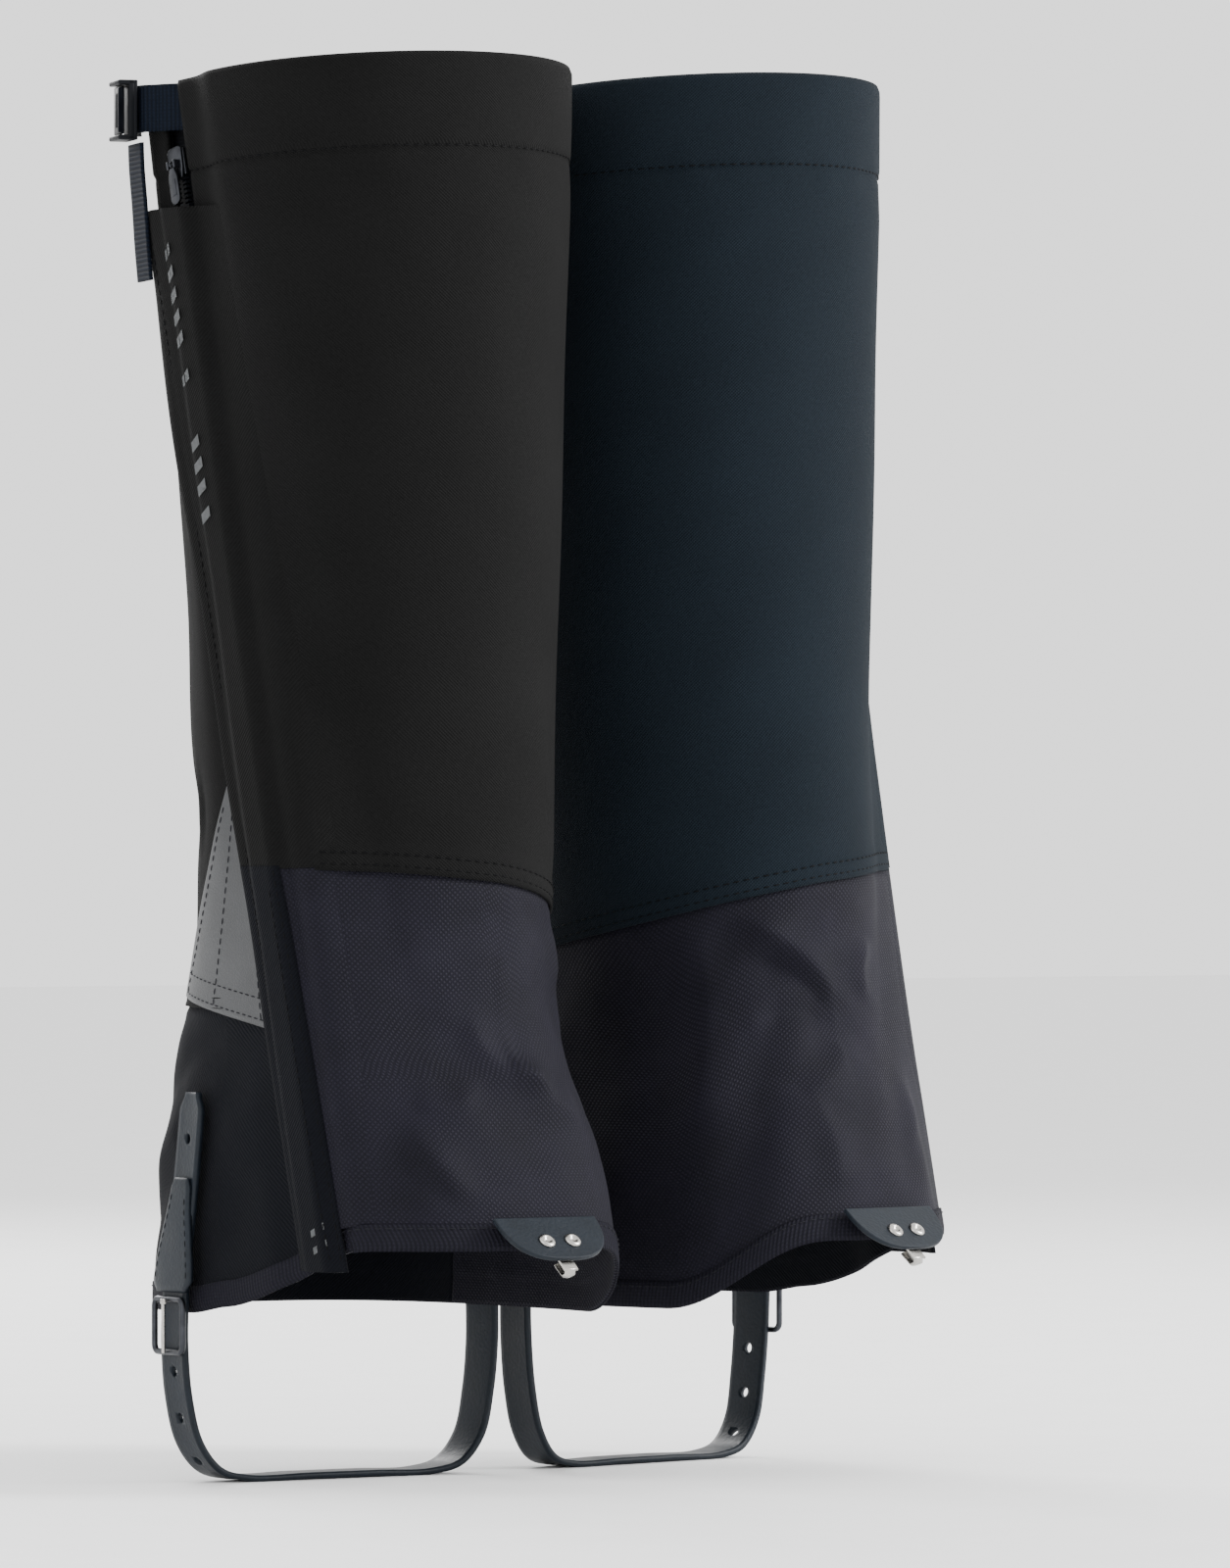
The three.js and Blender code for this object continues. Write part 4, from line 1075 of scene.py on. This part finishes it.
def strap_tail(side):
    """The strap's loose end, hanging from the buckle in a shallow curve."""
    route = [(0, 0, 0), (1.2, -0.6, -8), (1.4, -1.8, -22), (1, -2.8, -38), (0, -3.6, -50)]
    path = smooth_path(route, 41)
    top = buckle_place() @ Matrix.Translation((0, -2.4, -WEBBING_WIDTH / 2 - 3.4))

    def place(u, v):
        middle = np.stack([np.interp(u, np.linspace(0, 1, 41), path[:, k]) for k in range(3)], axis=1)
        middle[:, 0] += (v - 0.5) * WEBBING_WIDTH
        return carry(middle, top)

    replaced = ["top_strap_tail"]
    cloth("strap_end", side, "gaiter", "webbing", 50, 16, place, WEBBING_THICK, replaced)


def cam_buckle(side):
    """A moulded frame with a toothed floor, and the lever that pinches the strap against it."""
    half = WEBBING_WIDTH / 2 + 2.4
    bm = bmesh.new()
    block(bm, (-7, 7), (-1.2, 0.4), (-half, half), 0.4)
    block(bm, (-7, 7), (-1.2, 6), (half - 1.8, half), 0.6, 3)
    block(bm, (-7, 7), (-1.2, 6), (-half, -half + 1.8), 0.6, 3)
    block(bm, (-7, -5), (0, 2.2), (-half, half), 0.4)
    for z in (-4.5, 0, 4.5):
        block(bm, (-4.6, -1.5), (0.3, 0.8), (z - 0.8, z + 0.8), 0.2)
    place = buckle_place()
    finish_piece(bm, "cam_frame", side, "gaiter", "plastic", ["top_buckle_frame"], place)
    lever = bmesh.new()
    half = WEBBING_WIDTH / 2 + 0.2
    pin(lever, 1.5, "z", -half, half, (0, 0), 20)
    block(lever, (-9.5, 0.3), (0.2, 1.5), (-half, half), 0.35)
    block(lever, (-9.5, -8.3), (1.2, 2.5), (-half + 0.5, half - 0.5), 0.35)
    for x in (-6.5, -5, -3.5):
        block(lever, (x - 0.35, x + 0.35), (1.4, 1.9), (-half + 2.5, half - 2.5), 0.2)
    place = place @ Matrix.Translation((4, 3.2, 0))
    replaced = ["top_buckle_lever"]
    finish_piece(lever, "cam_lever_plate", side, "cam_lever", "blackened", replaced, place)


# ---- instep strap ----
def instep_route():
    """From the outer tongue down, under the sole and up to the inner anchor."""
    def outer(z, y):
        return on_leg(outer_angle(y, z), z, INSTEP_OUT)[0]

    def inner(z, y):
        return on_leg(-outer_angle(y, z), z, INSTEP_OUT)[0]

    under = INSTEP_THICK / 2
    down, up = outer(64, 29), inner(66, 22)
    return [
        outer(141, 20), outer(120, 21.5), outer(98, 24), outer(80, 27), down,
        (down[0] + 0.2, 30, 48), (down[0] + 2, 30, 30), (down[0] + 6, 29, 14), (down[0] + 14, 28, 4.2),
        (down[0] + 26, 27, under), (-14, 26, under), (14, 25, under), (up[0] - 26, 24, under),
        (up[0] - 14, 23, 4.2), (up[0] - 6, 22, 14), (up[0] - 2, 22, 30), (up[0] - 0.2, 22, 48), up,
        inner(84, 22), inner(104, 22),
    ]


def width_way(u):
    way = np.stack([lerp(0.13, -0.13, u), np.ones_like(u), np.zeros_like(u)], axis=1)
    return way / np.linalg.norm(way, axis=1)[:, None]


def instep_frame(u):
    """Middle point, width direction and face normal at each share of the strap's length."""
    count = 400
    path = smooth_path(instep_route(), count)
    tangent = np.gradient(path, axis=0)
    tangent /= np.linalg.norm(tangent, axis=1)[:, None]
    even = np.linspace(0, 1, count)
    middle = np.stack([np.interp(u, even, path[:, k]) for k in range(3)], axis=1)
    along = np.stack([np.interp(u, even, tangent[:, k]) for k in range(3)], axis=1)
    normal = np.cross(along, width_way(u))
    normal /= np.linalg.norm(normal, axis=1)[:, None]
    length = float(np.linalg.norm(np.diff(path, axis=0), axis=1).sum())
    return middle, width_way(u), normal, length


def cut_holes(bm, drills):
    """Drills round holes through a bmesh and gives the result back."""
    body = bpy.data.objects.new("blank", bpy.data.meshes.new("blank"))
    tool = bpy.data.objects.new("drill", bpy.data.meshes.new("drill"))
    bm.to_mesh(body.data)
    drills.to_mesh(tool.data)
    for thing in (body, tool):
        bpy.context.scene.collection.objects.link(thing)
    change = body.modifiers.new("holes", "BOOLEAN")
    change.operation, change.object, change.solver = "DIFFERENCE", tool, "EXACT"
    bpy.context.view_layer.update()
    made = body.evaluated_get(bpy.context.evaluated_depsgraph_get()).to_mesh()
    result = bmesh.new()
    result.from_mesh(made)
    for thing in (body, tool):
        bpy.data.objects.remove(thing)
    bm.free()
    drills.free()
    return result


def drill_bits(places, radius):
    bm = bmesh.new()
    for place in places:
        bmesh.ops.create_cone(
            bm, cap_ends=True, segments=20, radius1=radius, radius2=radius, depth=9, matrix=place
        )
    return bm


def look_along(position, direction):
    turn = Vector(direction).to_track_quat("Z", "Y")
    return Matrix.Translation(Vector(position)) @ turn.to_matrix().to_4x4()


def instep_strap(side):
    def place(u, v):
        middle, way, normal, _ = instep_frame(u)
        taper = 1 - 0.45 * (1 - smoothstep(u, 0, 0.02))
        across = (v - 0.5) * INSTEP_WIDTH * taper
        bow = -0.25 * (2 * v - 1) ** 2
        return middle + way * across[:, None] + normal * bow[:, None]

    bm = cloth_mesh(230, 10, place, INSTEP_THICK)[0]
    length = instep_frame(np.array([0.0]))[3]
    middles, _, normals, _ = instep_frame(np.array(HOLE_STEPS) * INSTEP_PITCH / length)
    places = [look_along(middle, normal) for middle, normal in zip(middles, normals)]
    bm = cut_holes(bm, drill_bits(places, HOLE_RADIUS))
    finish_piece(bm, "sole_strap", side, "gaiter", "rubber", ["instep_strap"])


def dished(u, v, depth):
    """How far a patch's edges sink below its middle."""
    sides = smoothstep(np.abs(u - 0.5), 0.42, 0.5)
    ends = smoothstep(np.abs(v - 0.5), 0.45, 0.5)
    return -depth * np.maximum(sides, ends)


def keeper_patch(side):
    """The coated patch that tapers up over the strap and holds the pin buckle."""
    out = INSTEP_OUT + INSTEP_THICK / 2 + 1.4

    def place(u, v):
        z = lerp(KEEPER_LOW, KEEPER_HIGH, v)
        half = lerp(13.5, 6, smoothstep(v, 0, 1)) * (1 - 0.35 * smoothstep(v, 0.9, 1.02))
        half = half * (1 - 0.25 * (1 - smoothstep(v, 0, 0.1)))
        y = lerp(KEEPER_FOOT_Y, KEEPER_TOP_Y, v) + (u - 0.5) * 2 * half
        return on_leg(outer_angle(y, z), z, out + dished(u, v, 0.5))

    bm = cloth_mesh(28, 40, place, PATCH_THICK)[0]
    finish_piece(bm, "strap_keeper", side, "gaiter", "rubber", ["side_patch"])
    rows = []
    v = np.linspace(0.12, 0.86, 40)
    z = lerp(KEEPER_LOW, KEEPER_HIGH, v)
    for sign in (-1, 1):
        y = lerp(KEEPER_FOOT_Y, KEEPER_TOP_Y, v) + sign * (lerp(13.5, 6, smoothstep(v, 0, 1)) - 2)
        rows.append(on_leg(outer_angle(y, z), z, out + 0.85))
    stitching("keeper_stitching", side, "gaiter", "thread", rows)


def anchor_patch(side):
    """The patch and the rivet that hold the strap's inner end."""
    out = INSTEP_OUT + INSTEP_THICK / 2 + 1.9

    def place(u, v):
        z = lerp(ANCHOR_LOW, ANCHOR_HIGH, v)
        width = lerp(26, 20, v) * (1 - 0.12 * smoothstep(np.abs(v - 0.5), 0.4, 0.5))
        y = ANCHOR_Y + (u - 0.5) * width
        return on_leg(-outer_angle(y, z), z, out + dished(u, v, 0.4))

    bm = cloth_mesh(24, 30, place, PATCH_THICK)[0]
    finish_piece(bm, "anchor_patch", side, "gaiter", "rubber", ["inner_anchor"])
    rows = []
    v = np.linspace(0.1, 0.9, 40)
    z = lerp(ANCHOR_LOW, ANCHOR_HIGH, v)
    for sign in (-1, 1):
        y = ANCHOR_Y + sign * (lerp(13, 10, v) - 2)
        rows.append(on_leg(-outer_angle(y, z), z, out + 0.85))
    stitching("anchor_stitching", side, "gaiter", "thread", rows)
    middle = (ANCHOR_LOW + ANCHOR_HIGH) / 2
    spot = stand_on(-float(outer_angle(ANCHOR_Y, middle)[0]), middle, out + 0.9)
    bm = bmesh.new()
    rivet_head(bm, 0, 0, 0, 3.6)
    finish_piece(bm, "anchor_stud", side, "gaiter", "steel", ["anchor_rivet"], spot)


def rivet_head(bm, x, back, z, radius):
    """A domed tubular rivet head with a rolled rim and a dimple, its back at y = back."""
    profile = [
        (0, 0.35), (radius * 0.3, 0.4), (radius * 0.42, 1.0), (radius * 0.62, 1.2),
        (radius * 0.86, 0.95), (radius, 0.45), (radius * 0.97, 0),
    ]
    verts = [bm.verts.new((x + reach, back + height, z)) for reach, height in profile]
    edges = [bm.edges.new(pair) for pair in zip(verts, verts[1:])]
    bmesh.ops.spin(
        bm, geom=verts + edges, cent=(x, back, z), axis=(0, 1, 0), angle=2 * math.pi, steps=24, use_merge=True
    )


def pin_buckle(side):
    """A bent wire frame and its prong, both turning on the frame's upper bar."""
    angle = float(outer_angle(PIN_BUCKLE_Y, PIN_BUCKLE_HEIGHT)[0])
    place = stand_on(angle, PIN_BUCKLE_HEIGHT, INSTEP_OUT + INSTEP_THICK / 2 + 1.8)
    bm = wire(rounded_loop(10.9, 0.2, -18.9, 2.6), 1.15, round_steps=4)
    finish_piece(bm, "buckle_wire", side, "pin_buckle", "gunmetal", ["buckle_frame"], place)
    prong = wire([(0, 2.1, 0.5), (0, 2.2, -1), (0, 2.2, -10), (0, 2.1, -19.2)], 0.72, False, 4)
    block(prong, (-1.6, 1.6), (1.5, 2.8), (-1.6, 0.5), 0.4, 3)
    finish_piece(prong, "buckle_tongue", side, "prong", "steel", ["buckle_prong"], place)


def lace_tab(side):
    """A half-oval tab hinged at the hem, with two rivets that hold a wire hook under it."""
    hinge = Vector(on_leg(0, float(hem_height(0)) + BINDING + 1, 3.2)[0])
    place = Matrix.Translation(hinge)
    place = place @ Matrix.Rotation(math.radians(-48), 4, "X") @ Matrix.Rotation(math.pi, 4, "Z")
    outline = []
    for angle in np.linspace(0, math.pi, 40):
        x = TAB_WIDTH / 2 * math.copysign(abs(math.cos(angle)) ** 0.72, math.cos(angle))
        outline.append((x, -TAB_DROP * math.sin(angle) ** 0.8))
    bm = bmesh.new()
    plate(bm, outline, -TAB_THICK / 2, TAB_THICK, 0.45)
    close_seams(bm)
    finish_piece(bm, "lace_flap", side, "tab", "rubber", ["lace_tab"], place, smooth=False)
    metal = bmesh.new()
    for x in (-5.6, 5.6):
        rivet_head(metal, x, TAB_THICK / 2 + 0.05, -12.5, 3.2)
    back = -TAB_THICK / 2 - 0.4
    right_half = [(9.5, -9.5), (9.5, -16), (3, -17), (3, -24.5)]
    backing = [(-9.5, -9.5), *right_half, *[(-x, z) for x, z in right_half[:0:-1]]]
    plate(metal, backing, back - 1, 1, 0.3)
    close_seams(metal)
    bend = [(back - 0.6, -23.6), (back - 2.2, -24.8), (back - 3.9, -23.8), (back - 4.2, -18)]
    hook = wire([(0, y, z) for y, z in bend], 0.9, False, 4)
    bmesh.ops.scale(hook, vec=(2.6, 1, 1), verts=hook.verts[:])
    spare = bpy.data.meshes.new("hook")
    hook.to_mesh(spare)
    hook.free()
    metal.from_mesh(spare)
    bpy.data.meshes.remove(spare)
    finish_piece(metal, "lace_hook_plate", side, "tab", "steel", ["lace_hook"], place)


# ---- stitching on the cloth ----
def sewn_lines(side):
    on_cloth = SHELL / 2 + 0.12
    hem_row = lambda phi: rim_height(phi) - HEM_DEPTH + 0.6
    rows = [around_row(math.radians(105), math.radians(-225), hem_row, on_cloth, upper_folds, side)]
    for gap, lift in ((5.6, 0.75), (1.4, 0.7)):
        seam_row = lambda phi: seam_height(phi) + gap
        rows.append(
            around_row(math.radians(75), math.radians(-225), seam_row, on_cloth + lift, upper_folds, side)
        )
    stitching("shell_stitching", side, "gaiter", "thread", rows)
    binding_row = lambda phi: hem_height(phi) + BINDING - 1.6
    rows = [around_row(math.radians(60), math.radians(-230), binding_row, 1.85)]
    z = np.linspace(80, 190, 200)
    for shift in (-0.035, 0.035):
        phi = np.full_like(z, INNER_SEAM + shift)
        rows.append(on_leg(phi, z, on_cloth + lower_folds(side, phi, z)))
    stitching("hem_stitching", side, "gaiter", "dark_thread", rows)
    on_flap = FLAP_THICK / 2 + 0.08
    low = flap_seam()
    rows = [
        flap_line(5, FLAP_BOTTOM + 5, FLAP_TOP - 3, flap_edge, on_flap - 0.3),
        flap_line(-1.6, FLAP_BOTTOM + 4, low, flap_band_front, on_flap + 0.12),
        flap_line(-5, FLAP_BOTTOM + 4, low - 8, flap_band_front, on_flap + 0.12),
    ]
    stitching("flap_stitching", side, "storm_flap", "thread", rows)


def patch_stitching(side):
    """Three rows down the reflective triangle and two along its foot."""
    place = triangle_place()
    v = np.linspace(0.03, 0.93, 60)
    rows = [place(np.full_like(v, u), v) for u in (0.12, 0.55, 0.9)]
    u = np.linspace(0.05, 0.95, 30)
    rows += [place(u, np.full_like(u, v)) for v in (0.12, 0.03)]
    lifted = [row + np.array([-0.32, 0, 0]) for row in rows]
    stitching("patch_stitching", side, "gaiter", "dark_thread", lifted)


def build_gaiter(side):
    calf_panel(side)
    front_panel(side)
    rear_panel(side)
    rim_facing(side)
    zip_guard(side)
    hem_binding(side)
    elastic(side)
    reflective_patch(side)
    storm_flap(side)
    touch_strip("hook_tape", side, "gaiter", "hook_strip", "hooks", 1.8)
    touch_strip("loop_tape", side, "storm_flap", "loop_strip", "loops", 3.0)
    printed_marks(side)
    zip_fastener(side)
    zip_stop(side)
    zip_slider(side)
    zip_pull(side)
    calf_strap(side)
    strap_tail(side)
    cam_buckle(side)
    instep_strap(side)
    keeper_patch(side)
    anchor_patch(side)
    pin_buckle(side)
    lace_tab(side)
    sewn_lines(side)
    patch_stitching(side)


# ---- camera, light and floor ----
def aim(obj, target):
    obj.rotation_euler = (Vector(target) - obj.location).to_track_quat("-Z", "Y").to_euler()


def make_camera():
    """A long lens at shin height, 40 degrees round towards the wearer's right."""
    data = bpy.data.cameras.new("camera")
    camera = bpy.data.objects.new("camera", data)
    bpy.context.scene.collection.objects.link(camera)
    bpy.context.scene.camera = camera
    data.lens = 230
    data.sensor_width = 36
    camera.location = (-2.353, -2.8535, 0.2236)
    aim(camera, (0.0253, -0.0192, 0.2536))


def soft_light(name, location, target, size, power):
    data = bpy.data.lights.new(name, "AREA")
    data.shape = "RECTANGLE"
    data.size, data.size_y = size
    data.energy = power
    light = bpy.data.objects.new(name, data)
    light.location = location
    bpy.context.scene.collection.objects.link(light)
    aim(light, target)


def make_studio():
    bm = bmesh.new()
    bmesh.ops.create_grid(bm, x_segments=1, y_segments=1, size=12)
    mesh = bpy.data.meshes.new("floor")
    bm.to_mesh(mesh)
    bm.free()
    mesh.materials.append(studio_paper())
    floor = bpy.data.objects.new("floor", mesh)
    floor.location.z = -0.0006
    bpy.context.scene.collection.objects.link(floor)
    world = bpy.data.worlds.new("studio")
    bpy.context.scene.world = world
    world.use_nodes = True
    background = world.node_tree.nodes["Background"]
    background.inputs["Color"].default_value = (1, 1, 1, 1)
    background.inputs["Strength"].default_value = 1.7
    soft_light("key", (1.7, -1.8, 1.4), (0, 0, 0.3), (0.9, 1.4), 120)
    soft_light("fill", (-2.4, -0.8, 0.9), (0, 0, 0.25), (1.2, 1.6), 14)
    soft_light("back", (0.6, 2.1, 1.5), (0, 0, 0.3), (1.0, 1.4), 45)


make_camera()
make_studio()
for gaiter_side in SIDES:
    build_gaiter(gaiter_side)

bpy.context.view_layer.update()
